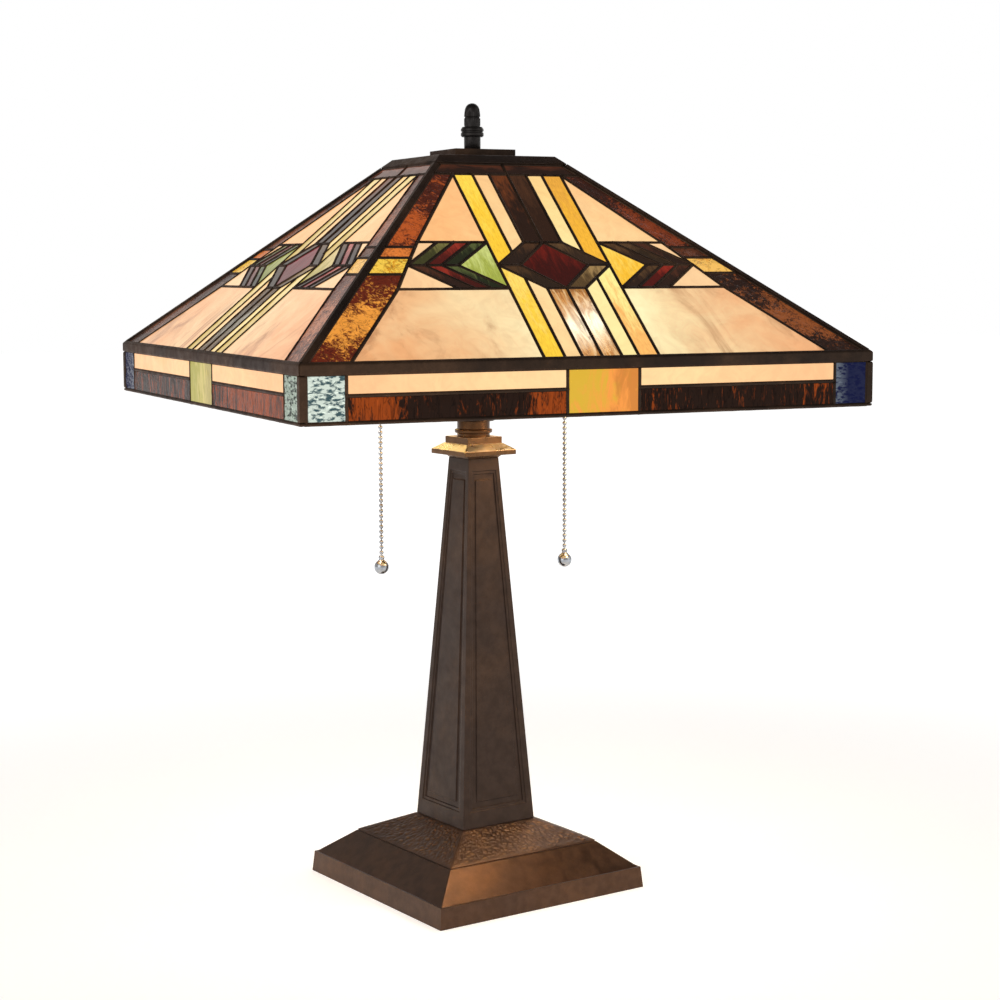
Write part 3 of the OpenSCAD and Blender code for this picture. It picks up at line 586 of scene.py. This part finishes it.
def glass_piece(node, material, tints, skirt=False, pitch=3 * MM, relief=0.12 * MM, size=12 * MM,
                facets=False, near_of=None, gain_of=lambda k: 1.0):
    """Plates of one kind of glass on all four faces, with a rippled outer face.

    tints gives a cell its two colours, from its middle in mm; near_of and gain_of say how much
    of the brighter one and of the lamp's light a point shows.
    """
    loops, level = outlines(node, skirt)
    loops = [grown(loop, GLASS_TUCK) for loop in loops]
    points, faces, cell, border = diced(loops, pitch)
    middles = [sum(loop, Vector((0, 0))) / len(loop) for loop in loops]
    spans = [(min(p.y for p in loop), max(p.y for p in loop)) for loop in loops]
    verts, polys, uvs, tone, tint, tint2 = [], [], [], [], [], []
    for k in range(4):
        out = face_frame(k, skirt)
        salt = Vector((k * 1.7, k * 0.9, 0))
        for side in (0, 1):
            first = len(verts)
            for (x, y), c in zip(points, cell):
                at = Vector((x, y, c * 0.31)) + salt
                if facets:
                    spread = noise.voronoi(at / size)[0]
                    rise = relief * (1 - 1.6 * spread[0])
                else:
                    rise = relief * (noise.noise(at / size) + 0.4 * noise.noise(at * 2.3 / size))
                z = level + rise if side == 0 else level - GLASS_T + 0.3 * rise
                verts.append(out @ Vector((x, y, z)))
                near = near_of(x, y, k) if near_of else near_share(x, y, skirt)
                if k == LEFT_FACE and not near_of:
                    near *= LEFT_NEAR
                low, high = spans[c]
                gain = gain_of(k) * (INNER_GAIN if side else 1.0)
                tone.append((near, cell_random(c, k, 1), gain, (y - low) / (high - low)))
                a, b = tints(middles[c].x / MM, middles[c].y / MM, k)
                tint.append((*a, 1))
                tint2.append((*b, 1))
                uvs.append((x + 1.7 * k, y + 0.9 * k + 0.31 * c))
            polys += [tuple(first + i for i in (f if side == 0 else f[::-1])) for f in faces]
        count = len(points)
        start = len(verts) - 2 * count
        polys += [(start + i, start + count + i, start + count + j, start + j)
                  for i, j in border]
    name = node.replace("glass_", "") + "_glass"
    piece = new_piece(name, verts, polys, material, "shade")
    mesh = piece.data
    for label, values in (("tone", tone), ("tint", tint), ("tint2", tint2)):
        layer = mesh.color_attributes.new(label, "FLOAT_COLOR", "POINT")
        layer.data.foreach_set("color", np.array(values, dtype=np.float32).ravel())
    layer = mesh.uv_layers.new(name="plane")
    flat = np.array([uvs[loop.vertex_index] for loop in mesh.loops], dtype=np.float32)
    layer.data.foreach_set("uv", flat.ravel())
    mesh.set_sharp_from_angle(angle=SHARP_GLASS)
    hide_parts(node)


def hill(at, middle, reach):
    """One at a middle, falling off smoothly on both sides."""
    return math.exp(-(((at - middle) / reach) ** 2))


def near_share(x, y, skirt):
    """How much of the bulbs' painted glow a point of a face shows, 0 to 1."""
    if skirt:
        return 0.6 * hill(x, 0, 0.13)
    return math.exp(-(((x - 0.006) ** 2 + 0.6 * (y - 0.045) ** 2) / 0.0088))


def hot_share(x, y, k):
    """The white glow of the bulbs in the clear strips, on a slant."""
    return hill(x, 0, 0.03) * hill(y, 0.033 + 0.4 * x, 0.016)


def hip_share(x, y, k):
    """How much amber shows in a hip piece: most in the middle of its run."""
    middle, reach = (0.037, 0.021) if y < 0.083 else (0.130, 0.022)
    return 0.1 + 0.85 * hill(y, middle, reach)


def plank_share(x, y, k):
    """How much amber shows in the folded brown strips.

    The left and right faces brighten towards one end; the front and back ones show it at the
    end and beside the middle square, mostly on one side.
    """
    if k % 2:
        return 0.35 + 0.5 * (x > 0) * min(1.0, x / 0.09)
    ends = hill(abs(x), 0.160, 0.022) + hill(abs(x), 0.035, 0.016)
    return ends * (0.95 if x < 0 else 0.35)


def dim_left(k):
    """The left face's clear strips get little of the bulbs' painted glow, so they show dark."""
    return 0.12 if k == LEFT_FACE else 1.0


def pair(a, b):
    """The same two tints for every cell."""
    return lambda x, y, k: (srgb(*a), srgb(*b))


def sides(left, right):
    """Two tints for the cells left of a face's middle, two for the others."""
    return lambda x, y, k: tuple(srgb(*c) for c in (left if x < 0 else right))


def levels(at, low, high):
    """Two tint functions, below and above a level up the face."""
    return lambda x, y, k: (low if y < at else high)(x, y, k)


def but_left(rest, left):
    """One tint function for the left face, another for the rest. The left face's tints draw the
    same glass with a painted sheen of the room and a painted shade, as less of the bulbs' glow
    shows there.
    """
    return lambda x, y, k: (left if k == LEFT_FACE else rest)(x, y, k)


def by_face(even, odd):
    """One tint function for the front and back faces, another for the two sides. The sides' tints
    draw the same glass with a painted sheen of the room.
    """
    return lambda x, y, k: (odd if k % 2 else even)(x, y, k)


def corner_tints(x, y, k):
    """Dark and bright tints of the corner squares; the left and right ones differ."""
    blue = (srgb(14, 20, 60), srgb(104, 116, 130))
    teal = (srgb(58, 84, 92), srgb(200, 218, 214))
    grey = (srgb(52, 62, 58), srgb(150, 168, 160))
    return [(teal, blue), (blue, grey), (grey, teal), (blue, grey)][k][0 if x < 0 else 1]


def corner_share(x, y, k):
    """How much of the bright facets shows: blue squares are bright only along their inner edge."""
    if (x > 0, k) in ((True, 0), (False, 1), (False, 3)):
        return max(0.05, 0.9 - (abs(x) - 0.173) / 0.013)
    return 1.0


def square_tints(x, y, k):
    """Yellow and orange on the front and back faces, green on the others."""
    warm = (srgb(214, 178, 62), srgb(242, 158, 78))
    green = (srgb(168, 166, 84), srgb(204, 192, 122))
    return warm if k in (0, 2) else green


PITCH_S = 2 * MM  # grid of the small pieces

glass_piece("glass_top_bands", BAND, but_left(pair((38, 20, 12), (80, 40, 22)),
                                              pair((86, 50, 40), (126, 78, 62))))
glass_piece("glass_dark_strips", DARK, sides(((42, 22, 11), (108, 56, 24)),
                                             ((50, 28, 14), (76, 46, 26))))
glass_piece("glass_wispy_strips", wispy(), pair((158, 104, 58), (255, 248, 226)),
            near_of=hot_share, pitch=PITCH_S, gain_of=dim_left)
glass_piece("glass_yellow_strips", YELLOW, but_left(levels(
    MIDDLE_Y, sides(((248, 210, 66), (252, 222, 112)), ((249, 192, 112), (252, 245, 160))),
    sides(((248, 206, 60), (252, 220, 84)), ((242, 186, 58), (228, 170, 66)))),
    pair((206, 182, 104), (238, 220, 156))), pitch=PITCH_S)
glass_piece("glass_cream_strips", OPAL, sides(((249, 204, 146), (252, 224, 168)),
                                              ((250, 210, 142), (253, 242, 176))), pitch=PITCH_S)
glass_piece("glass_upper_panels", OPAL, sides(((250, 188, 128), (253, 214, 156)),
                                              ((250, 194, 136), (253, 232, 178))))
glass_piece("glass_lower_panels", SMOKY, sides(((234, 178, 128), (255, 250, 204)),
                                               ((236, 176, 128), (255, 252, 204))))
glass_piece("glass_green_triangles", YELLOW, but_left(
    pair((160, 176, 78), (196, 212, 130)), pair((120, 132, 52), (164, 172, 92))), pitch=PITCH_S)
glass_piece("glass_yellow_triangles", YELLOW, but_left(
    pair((244, 194, 54), (250, 216, 96)), pair((170, 160, 84), (214, 196, 140))), pitch=PITCH_S)
glass_piece("glass_green_chevrons", DARK, sides(((34, 40, 22), (92, 104, 58)),
                                                ((46, 30, 20), (92, 66, 40))), pitch=PITCH_S)
glass_piece("glass_red_chevrons", DARK, but_left(levels(
    MIDDLE_Y, sides(((70, 20, 14), (150, 48, 34)), ((84, 18, 12), (150, 44, 30))),
    sides(((82, 22, 16), (158, 52, 38)), ((50, 36, 22), (92, 68, 44)))),
    sides(((92, 48, 48), (128, 76, 70)), ((136, 54, 56), (196, 108, 102)))), pitch=PITCH_S)
glass_piece("glass_brown_chevrons", DARK, levels(
    MIDDLE_Y, sides(((46, 28, 20), (84, 48, 32)), ((44, 26, 18), (80, 44, 28))),
    sides(((64, 66, 34), (124, 122, 70)), ((44, 26, 18), (80, 44, 28)))), pitch=PITCH_S)
glass_piece("glass_tip_triangles", OPAL, pair((248, 206, 158), (252, 226, 180)), pitch=PITCH_S)
glass_piece("glass_red_diamonds", DARK, but_left(
    pair((62, 12, 7), (108, 24, 14)), pair((98, 8, 26), (136, 26, 46))), pitch=PITCH_S)
glass_piece("glass_diamond_borders", DARK, levels(
    MIDDLE_Y, sides(((46, 32, 22), (80, 56, 34)), ((92, 72, 44), (168, 140, 92))),
    sides(((42, 28, 20), (78, 52, 32)), ((54, 38, 26), (96, 72, 46)))), pitch=PITCH_S)
glass_piece("glass_hip_upper", AMBER, by_face(
    sides(((76, 28, 12), (184, 88, 34)), ((50, 22, 13), (124, 54, 24))),
    sides(((58, 28, 18), (124, 72, 44)), ((84, 46, 36), (150, 94, 70)))),
    pitch=PITCH_S, near_of=hip_share)
glass_piece("glass_hip_squares", AMBER, levels(
    SQUARES_Y, sides(((214, 150, 30), (250, 214, 84)), ((222, 156, 60), (248, 200, 104))),
    sides(((140, 60, 18), (222, 128, 56)), ((52, 26, 16), (92, 48, 26)))), pitch=PITCH_S,
    near_of=lambda x, y, k: 0.85)
glass_piece("glass_hip_lower", AMBER, by_face(
    sides(((98, 32, 12), (240, 162, 66)), ((40, 20, 12), (140, 78, 38))),
    sides(((54, 28, 20), (108, 64, 42)), ((96, 54, 42), (180, 118, 88)))),
    pitch=PITCH_S, near_of=hip_share)
glass_piece("glass_skirt_beige", SKIRT_OPAL, pair((242, 192, 146), (254, 226, 172)), True)
glass_piece("glass_skirt_brown", FOLDED, pair((36, 23, 17), (146, 66, 22)), True, PITCH_S,
            near_of=plank_share)
glass_piece("glass_skirt_squares", swirl_square(), square_tints, True, PITCH_S,
            near_of=lambda x, y, k: min(1.0, max(0.0, 0.5 + x / 0.04)))
glass_piece("glass_skirt_corners", hammered(), corner_tints, True, 1.0 * MM, 0.5 * MM, 4.5 * MM,
            facets=True, near_of=corner_share)

# ---------------------------------------------------------------- solder lines

CAME_HALF = 1.7 * MM  # half of a CAD came's width, from the glass to its middle line
BEAD_HALF = 1.45 * MM
BEAD_RISE = 2.15 * MM
RING = 3.0 * MM  # length of a bead's section
AROUND = 10  # points round a bead
SPOT_GRID = 0.4 * MM  # crossings nearer than this are one
ON_LINE = 0.5 * MM  # a crossing this near a line splits it
SHORTEST = 1.2 * MM
DOME_RINGS = 5


def lead_lines(names, skirt):
    """Every lead line once, split where others meet it, and the points where they meet."""
    raw = []
    ends = {}
    for name in names:
        for loop in outlines(name, skirt)[0]:
            corners = grown(loop, CAME_HALF)
            raw += list(zip(corners, corners[1:] + corners[:1]))
            for p in corners:
                ends.setdefault((round(p.x / SPOT_GRID), round(p.y / SPOT_GRID)), p)
    spots = list(ends.values())
    lines = {}
    for a, b in raw:
        way = b - a
        on = [(0.0, a), (1.0, b)]
        for p in spots:
            t = (p - a).dot(way) / way.length_squared
            if 0.002 < t < 0.998 and (a + t * way - p).length < ON_LINE:
                on.append((t, p))
        on.sort(key=lambda entry: entry[0])
        for (_, p), (_, q) in zip(on, on[1:]):
            if (q - p).length > SHORTEST:
                middle = (p + q) / 2
                lines.setdefault((round(middle.x / MM), round(middle.y / MM)), (p, q))
    return list(lines.values()), spots


def skin(first, rings, around):
    """Faces over rings of points that follow each other, closed at both ends."""
    polys = []
    for i in range(rings - 1):
        for j in range(around):
            a = first + i * around + j
            b = first + i * around + (j + 1) % around
            polys.append((a, b, b + around, a + around))
    polys.append(tuple(first + j for j in range(around))[::-1])
    polys.append(tuple(first + (rings - 1) * around + j for j in range(around)))
    return polys


def bead_points(at, across, half, rise):
    """One ring of a bead: a rounded section across the line, in face coordinates."""
    ring = []
    for i in range(AROUND):
        a = 2 * math.pi * (i + 0.5) / AROUND
        c, s = math.cos(a), math.sin(a)
        x = half * math.copysign(abs(c) ** 0.75, c)
        z = rise * math.copysign(abs(s) ** 0.85, s)
        ring.append(Vector((at.x + across.x * x, at.y + across.y * x, at.z + z)))
    return ring


def solder(name, names, node, skirt, middle):
    """Rounded, slightly uneven solder beads over the lead lines of all four faces.

    middle is the level of the beads' axes in a face's frame. A small dome covers each crossing.
    """
    lines, spots = lead_lines(names, skirt)
    verts, polys = [], []
    for k in range(4):
        out = face_frame(k, skirt)
        for p, q in lines:
            way = q - p
            steps = max(2, round(way.length / RING))
            across = Vector((way.y, -way.x)).normalized()
            first = len(verts)
            for i in range(steps + 1):
                at = p + way * i / steps
                wave = noise.noise(Vector((at.x, at.y, k * 0.4)) / (7 * MM))
                lump = noise.noise(Vector((at.y, at.x, 5 + k * 0.4)) / (4 * MM))
                ring = bead_points(Vector((at.x, at.y, middle)), across,
                                   BEAD_HALF * (1 + 0.07 * wave), BEAD_RISE * (1 + 0.08 * lump))
                verts += [out @ v for v in ring]
            polys += skin(first, steps + 1, AROUND)
        for s, p in enumerate(spots):
            swell = 1.08 + 0.1 * cell_random(s, k, 7)
            first = len(verts)
            for i in range(1, DOME_RINGS + 1):
                a = math.pi * i / (DOME_RINGS + 1) - math.pi / 2
                for j in range(AROUND):
                    b = 2 * math.pi * j / AROUND
                    r = BEAD_HALF * swell * math.cos(a) ** 0.7
                    verts.append(out @ Vector((p.x + r * math.cos(b), p.y + r * math.sin(b),
                                               middle + BEAD_RISE * swell * math.sin(a))))
            polys += skin(first, DOME_RINGS, AROUND)
    piece = new_piece(name, verts, polys, LEAD, "shade")
    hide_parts(node)


ROOF_GLASS = sorted(n for n in nodes if n.startswith("glass_") and "skirt" not in n)
SKIRT_GLASS = sorted(n for n in nodes if n.startswith("glass_skirt"))
solder("roof_solder", ROOF_GLASS, "roof_came", False, -2.8 * MM)
solder("skirt_solder", SKIRT_GLASS, "skirt_came", True, -2.35 * MM)

# ---------------------------------------------------------------- hammered band of the base

BASE_LINE = 33.3 * MM
BASE_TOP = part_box("base_casting")[1][2]
BAND_LOW_HALF = 63.1 * MM
BAND_HIGH_HALF = 31.0 * MM
BAND_BORDER = 2.2 * MM
BAND_ROWS = 44
BAND_COLUMNS = 150
BAND_LIFT = 0.06 * MM  # the skin lies this far off the casting
BORDER_RISE = 0.22 * MM
PEBBLE = 2.9 * MM
PEBBLE_RISE = 0.6 * MM


def hammered_band():
    """Pebbled skin on the four upper slopes of the base, inside a plain border."""
    slant = math.hypot(BAND_LOW_HALF - BAND_HIGH_HALF, BASE_TOP - BASE_LINE)
    outward = Vector((0, -(BASE_TOP - BASE_LINE), BAND_LOW_HALF - BAND_HIGH_HALF)).normalized()
    verts, polys, worn = [], [], []
    for k in range(4):
        turn = Matrix.Rotation(k * math.pi / 2, 4, "Z")
        first = len(verts)
        for i in range(BAND_ROWS + 1):
            t = i / BAND_ROWS
            half = BAND_LOW_HALF + (BAND_HIGH_HALF - BAND_LOW_HALF) * t
            z = BASE_LINE + (BASE_TOP - BASE_LINE) * t
            for j in range(BAND_COLUMNS + 1):
                u = (2 * j / BAND_COLUMNS - 1) * half
                v = t * slant
                edge = min(v, slant - v, (half - abs(u)) * 0.7) / BAND_BORDER
                ease = min(max((edge - 0.6) / 0.5, 0), 1)
                at = Vector((u / 1.5, v, k * 0.2)) / PEBBLE
                near, far = noise.voronoi(at + Vector((0, 0, k * 5)))[0][:2]
                dome = min((far - near) / 0.5, 1) ** 0.6
                # worn marks the pebbles' raised tops, drawn in the rubbed colour with a painted
                # highlight.
                worn.append(ease * dome * (0.8 + 0.4 * noise.noise(at * 0.3)))
                border = (1 - ease) * BORDER_RISE * (edge > 0.05)
                rise = BAND_LIFT + ease * dome * PEBBLE_RISE + border
                verts.append(turn @ (Vector((u, -half, z)) + outward * rise))
        for i in range(BAND_ROWS):
            for j in range(BAND_COLUMNS):
                a = first + i * (BAND_COLUMNS + 1) + j
                polys.append((a, a + 1, a + BAND_COLUMNS + 2, a + BAND_COLUMNS + 1))
    piece = new_piece("hammered_band", verts, polys, HAMMERED_BRONZE, "stand")
    piece.data.attributes.new("worn", "FLOAT", "POINT").data.foreach_set("value", worn)


hammered_band()

# ---------------------------------------------------------------- chains and finial

CHAIN_PITCH = 3.75 * MM
WIRE_R = 0.5 * MM
FINIAL_BORE = 3.475  # mm, radius of the hole for the stud
FINIAL_AROUND = 64
RIB_SHARE = 0.955  # radius of the hollows between the finial's ribs, to that of the ribs


def lathe(profile, around, middle=(0, 0)):
    """A turned mesh from (radius, height) points, closed flat at both ends."""
    verts = []
    for r, z in profile:
        for j in range(around):
            a = 2 * math.pi * j / around
            verts.append((middle[0] + r * math.cos(a), middle[1] + r * math.sin(a), z))
    return verts, skin(0, len(profile), around)


def arc(r, z, start, end, step):
    """Profile points on a circle of radius r about height z, between angles in degrees."""
    angles = (math.radians(d) for d in range(start, end, step))
    return [(r * math.cos(a), z + r * math.sin(a)) for a in angles]


def middle_of(low, high):
    """Where the upright axis of a box stands."""
    return ((low[0] + high[0]) / 2, (low[1] + high[1]) / 2)


def bead_chain(side):
    """Round beads on short wires."""
    low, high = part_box(f"chain_{side}")
    middle = middle_of(low, high)
    bead = (high[0] - low[0]) / 2
    count = int((high[2] - low[2] - 2 * bead) / CHAIN_PITCH) + 1
    verts, polys = [], []
    for i in range(count):
        z = low[2] + bead + 0.4 * MM + i * CHAIN_PITCH
        ball = arc(bead, z, -84, 85, 14)
        wire_top = min(z + CHAIN_PITCH - bead * 0.9, high[2])
        wire = [(WIRE_R, z + bead * 0.9), (WIRE_R, wire_top)]
        for profile, around in ((ball, 18), (wire, 8)):
            v, f = lathe(profile, around, middle)
            polys += [tuple(len(verts) + n for n in p) for p in f]
            verts += v
    piece = new_piece(f"bead_chain_{side}", verts, polys, NICKEL, f"pull_{side}")
    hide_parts(f"chain_{side}")


def chain_end(side):
    """Pull ball with a crimped ferrule above it."""
    low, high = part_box(f"ball_{side}")
    middle = middle_of(low, high)
    r = (high[0] - low[0]) / 2
    z = low[2] + r
    top = high[2]
    ferrule = [(2.5 * MM, z + 4.9 * MM), (1.9 * MM, z + 5.4 * MM), (1.9 * MM, z + 6.2 * MM),
               (2.2 * MM, z + 6.5 * MM), (2.2 * MM, z + 7.3 * MM), (1.7 * MM, top - 0.5 * MM),
               (1.3 * MM, top)]
    verts, polys = lathe(arc(r, z, -86, 61, 6) + ferrule, 40, middle)
    piece = new_piece(f"pull_ball_{side}", verts, polys, NICKEL, f"pull_{side}")
    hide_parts(f"ball_{side}")


def turned_finial():
    """Stem with the stud's bore, grooved ring and a blunt, finely ribbed bullet."""
    low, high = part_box("finial")
    middle = middle_of(low, high)
    ring = (high[0] - low[0]) / 2 / MM
    foot, tip = low[2] / MM, high[2] / MM
    bullet = foot + 16.9
    stem = [(FINIAL_BORE, foot + 15), (FINIAL_BORE, foot), (5.6, foot), (5.85, foot + 0.4),
            (5.85, foot + 9.4)]
    collar = [(ring - 0.8, foot + 9.4), (ring, foot + 10.2), (ring, foot + 12),
              (ring - 0.5, foot + 12.5), (ring - 0.5, foot + 13.1), (ring, foot + 13.6),
              (ring, foot + 14.8), (ring - 1.0, foot + 16.4)]
    barrel = [(5.5, foot + 16.6), (5.5, bullet), (5.75, bullet + 0.6), (5.75, bullet + 5.4),
              (5.2, bullet + 5.9), (5.2, bullet + 6.4), (5.7, bullet + 6.9)]
    nose = [(5.55, tip - 7), (5.15, tip - 4.2), (4.3, tip - 2.1), (2.9, tip - 0.7), (1.3, tip)]
    profile = [(r * MM, z * MM) for r, z in stem + collar + barrel + nose]
    verts, polys = lathe(profile, FINIAL_AROUND, middle)
    for i, (x, y, z) in enumerate(verts):
        if i % 2 and bullet * MM < z < (tip - 3) * MM:
            x, y = (c + (a - c) * RIB_SHARE for a, c in zip((x, y), middle))
            verts[i] = (x, y, z)
    piece = new_piece("turned_finial", verts, polys, FINIAL_BLACK, "finial_body")
    piece.data.set_sharp_from_angle(angle=math.radians(38))
    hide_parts("finial")


turned_finial()
for side in ("right", "left"):
    bead_chain(side)
    chain_end(side)

# ---------------------------------------------------------------- CAD nodes that stay

# Each node's material, and the width of its rounded edges in mm.
STAYS = {
    "base_casting": (BASE_BRONZE, 0.9),
    "base_cover": (FELT, 0.3),
    "cord_bushing": (BLACK_PLASTIC, 0.3),
    "column": (COLUMN_BRONZE, 0.35),
    "column_collar": (COPPER_BRONZE, 0.4),
    "neck_tube": (NECK_BRONZE, 0.2),
    "center_pipe": (BRASS, 0),
    "pipe_nut": (BRASS, 0.2),
    "pipe_washer": (NICKEL, 0.2),
    "cluster_hub": (COLUMN_BRONZE, 0.3),
    "socket_arms": (BRASS, 0),
    "socket_caps": (BRASS, 0),
    "socket_shells": (BRASS, 0.2),
    "socket_insulators": (INSULATOR, 0),
    "screw_shells": (BRASS, 0),
    "chain_bells": (BRASS, 0),
    "riser_rod": (BRASS, 0),
    "check_nut": (BRASS, 0.2),
    "seat_washer": (BRASS, 0.2),
    "crown_cap": (LEAD, 0.5),
    "crown_boss": (LEAD, 0.8),
    "crown_bars": (LEAD, 0.6),
    "hip_bars": (LEAD, 1.1),
    "rim_bars": (LEAD, 0.9),
    "corner_bars": (LEAD, 1.3),
    "bottom_bars": (LEAD, 0.7),
    "bulb_glass_right": (BULB, 0),
    "bulb_glass_left": (BULB, 0),
    "bulb_base_right": (SCREW, 0),
    "bulb_base_left": (SCREW, 0),
}

for name, (material, rounding) in STAYS.items():
    part = nodes[name]
    if not part.material_slots:
        part.data.materials.append(material)
    for slot in part.material_slots:
        slot.link = "OBJECT"
        slot.material = material
    if rounding:
        weld = part.modifiers.new("weld", "WELD")
        weld.merge_threshold = 0.002 * MM
        edge = part.modifiers.new("round", "BEVEL")
        edge.width = rounding * MM
        edge.segments = 3 if rounding > 0.7 else 2
        edge.limit_method = "ANGLE"
        edge.angle_limit = math.radians(28)
        part.modifiers.new("normals", "WEIGHTED_NORMAL")

# ---------------------------------------------------------------- floor and light

FLOOR_HALF = 9

around_floor = ((-1, -1), (1, -1), (1, 1), (-1, 1))
floor_corners = [(x * FLOOR_HALF, y * FLOOR_HALF, 0) for x, y in around_floor]
floor_mesh = bpy.data.meshes.new("floor")
floor_mesh.from_pydata(floor_corners, [], [(0, 1, 2, 3)])
floor = bpy.data.objects.new("floor", floor_mesh)
bpy.context.scene.collection.objects.link(floor)
ground = Look("floor")
apart = ground.node("ShaderNodeVectorMath", operation="LENGTH")
ground.put(apart.inputs[0], ground.place())
ground.set(
    Base_Color=ground.gain(ground.mix(1.0, (1, 1, 1), (0.7, 0.7, 0.7)),
                           ground.span(ground.noise(ground.place(), 3, 3), 0.3, 0.7, 0.99, 1.01)),
    Roughness=0.8,
    Specular_IOR_Level=0.1,
    Emission_Color=(1, 1, 1),
    Emission_Strength=ground.span(apart.outputs["Value"], 0.25, 1.3, 0.5, 0.88),
)
floor_mesh.materials.append(ground.material)

# The sky lights the lamp less from high up, and the camera sees plain white behind the lamp.
world = bpy.data.worlds.new("studio")
bpy.context.scene.world = world
world.use_nodes = True
sky = world.node_tree
background = sky.nodes["Background"]
toward = sky.nodes.new("ShaderNodeTexCoord")
rise = sky.nodes.new("ShaderNodeSeparateXYZ")
dim = sky.nodes.new("ShaderNodeMapRange")
dim.interpolation_type = "SMOOTHSTEP"
for key, value in (("From Min", 0.3), ("From Max", 0.8), ("To Min", 0.6), ("To Max", 0.13)):
    dim.inputs[key].default_value = value
sky.links.new(toward.outputs["Generated"], rise.inputs[0])
sky.links.new(rise.outputs["Z"], dim.inputs["Value"])
sky.links.new(dim.outputs[0], background.inputs["Strength"])
background.inputs["Color"].default_value = (1, 0.97, 0.93, 1)
seen = sky.nodes.new("ShaderNodeBackground")
seen.inputs["Color"].default_value = (1, 1, 1, 1)
seen.inputs["Strength"].default_value = 1.0
path = sky.nodes.new("ShaderNodeLightPath")
choice = sky.nodes.new("ShaderNodeMixShader")
sky.links.new(path.outputs["Is Camera Ray"], choice.inputs[0])
sky.links.new(background.outputs[0], choice.inputs[1])
sky.links.new(seen.outputs[0], choice.inputs[2])
sky.links.new(choice.outputs[0], sky.nodes["World Output"].inputs["Surface"])


def softbox(name, place, size, power, colour=(1, 1, 1), aim=(0, 0, 0.3)):
    """A rectangular light that the camera does not see."""
    light = bpy.data.lights.new(name, "AREA")
    light.shape = "RECTANGLE"
    light.size, light.size_y = size
    light.energy = power
    light.color = colour
    ob = bpy.data.objects.new(name, light)
    bpy.context.scene.collection.objects.link(ob)
    ob.location = place
    ob.rotation_euler = (Vector(aim) - Vector(place)).to_track_quat("-Z", "Y").to_euler()
    ob.visible_camera = False


BULB_WATTS = 1.6
BULB_COLOUR = (1.0, 0.93, 0.84)
BULB_R = 0.018

softbox("softbox_left", (-3.0, -0.9, 1.5), (2.6, 2.6), 26)
softbox("softbox_right", (2.2, -2.4, 1.6), (2.4, 2.4), 11, (1, 0.97, 0.93))
softbox("softbox_back", (2.4, 2.2, 2.2), (2.6, 2.6), 20)
# A small light inside the shade, for the warm light on the collar, the column and the base.
softbox("shade_glow", (0.11, -0.14, 0.375), (0.07, 0.07), 0.24, (1, 0.68, 0.36),
        (0, -0.03, 0.2))

for side in ("right", "left"):
    low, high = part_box(f"bulb_glass_{side}")
    lamp = bpy.data.lights.new(f"bulb_light_{side}", "POINT")
    lamp.energy = BULB_WATTS
    lamp.color = BULB_COLOUR
    lamp.shadow_soft_size = BULB_R
    glow = bpy.data.objects.new(f"bulb_light_{side}", lamp)
    bpy.context.scene.collection.objects.link(glow)
    glow.location = [(a + b) / 2 for a, b in zip(low, high)]
    nodes[f"bulb_glass_{side}"].visible_shadow = False
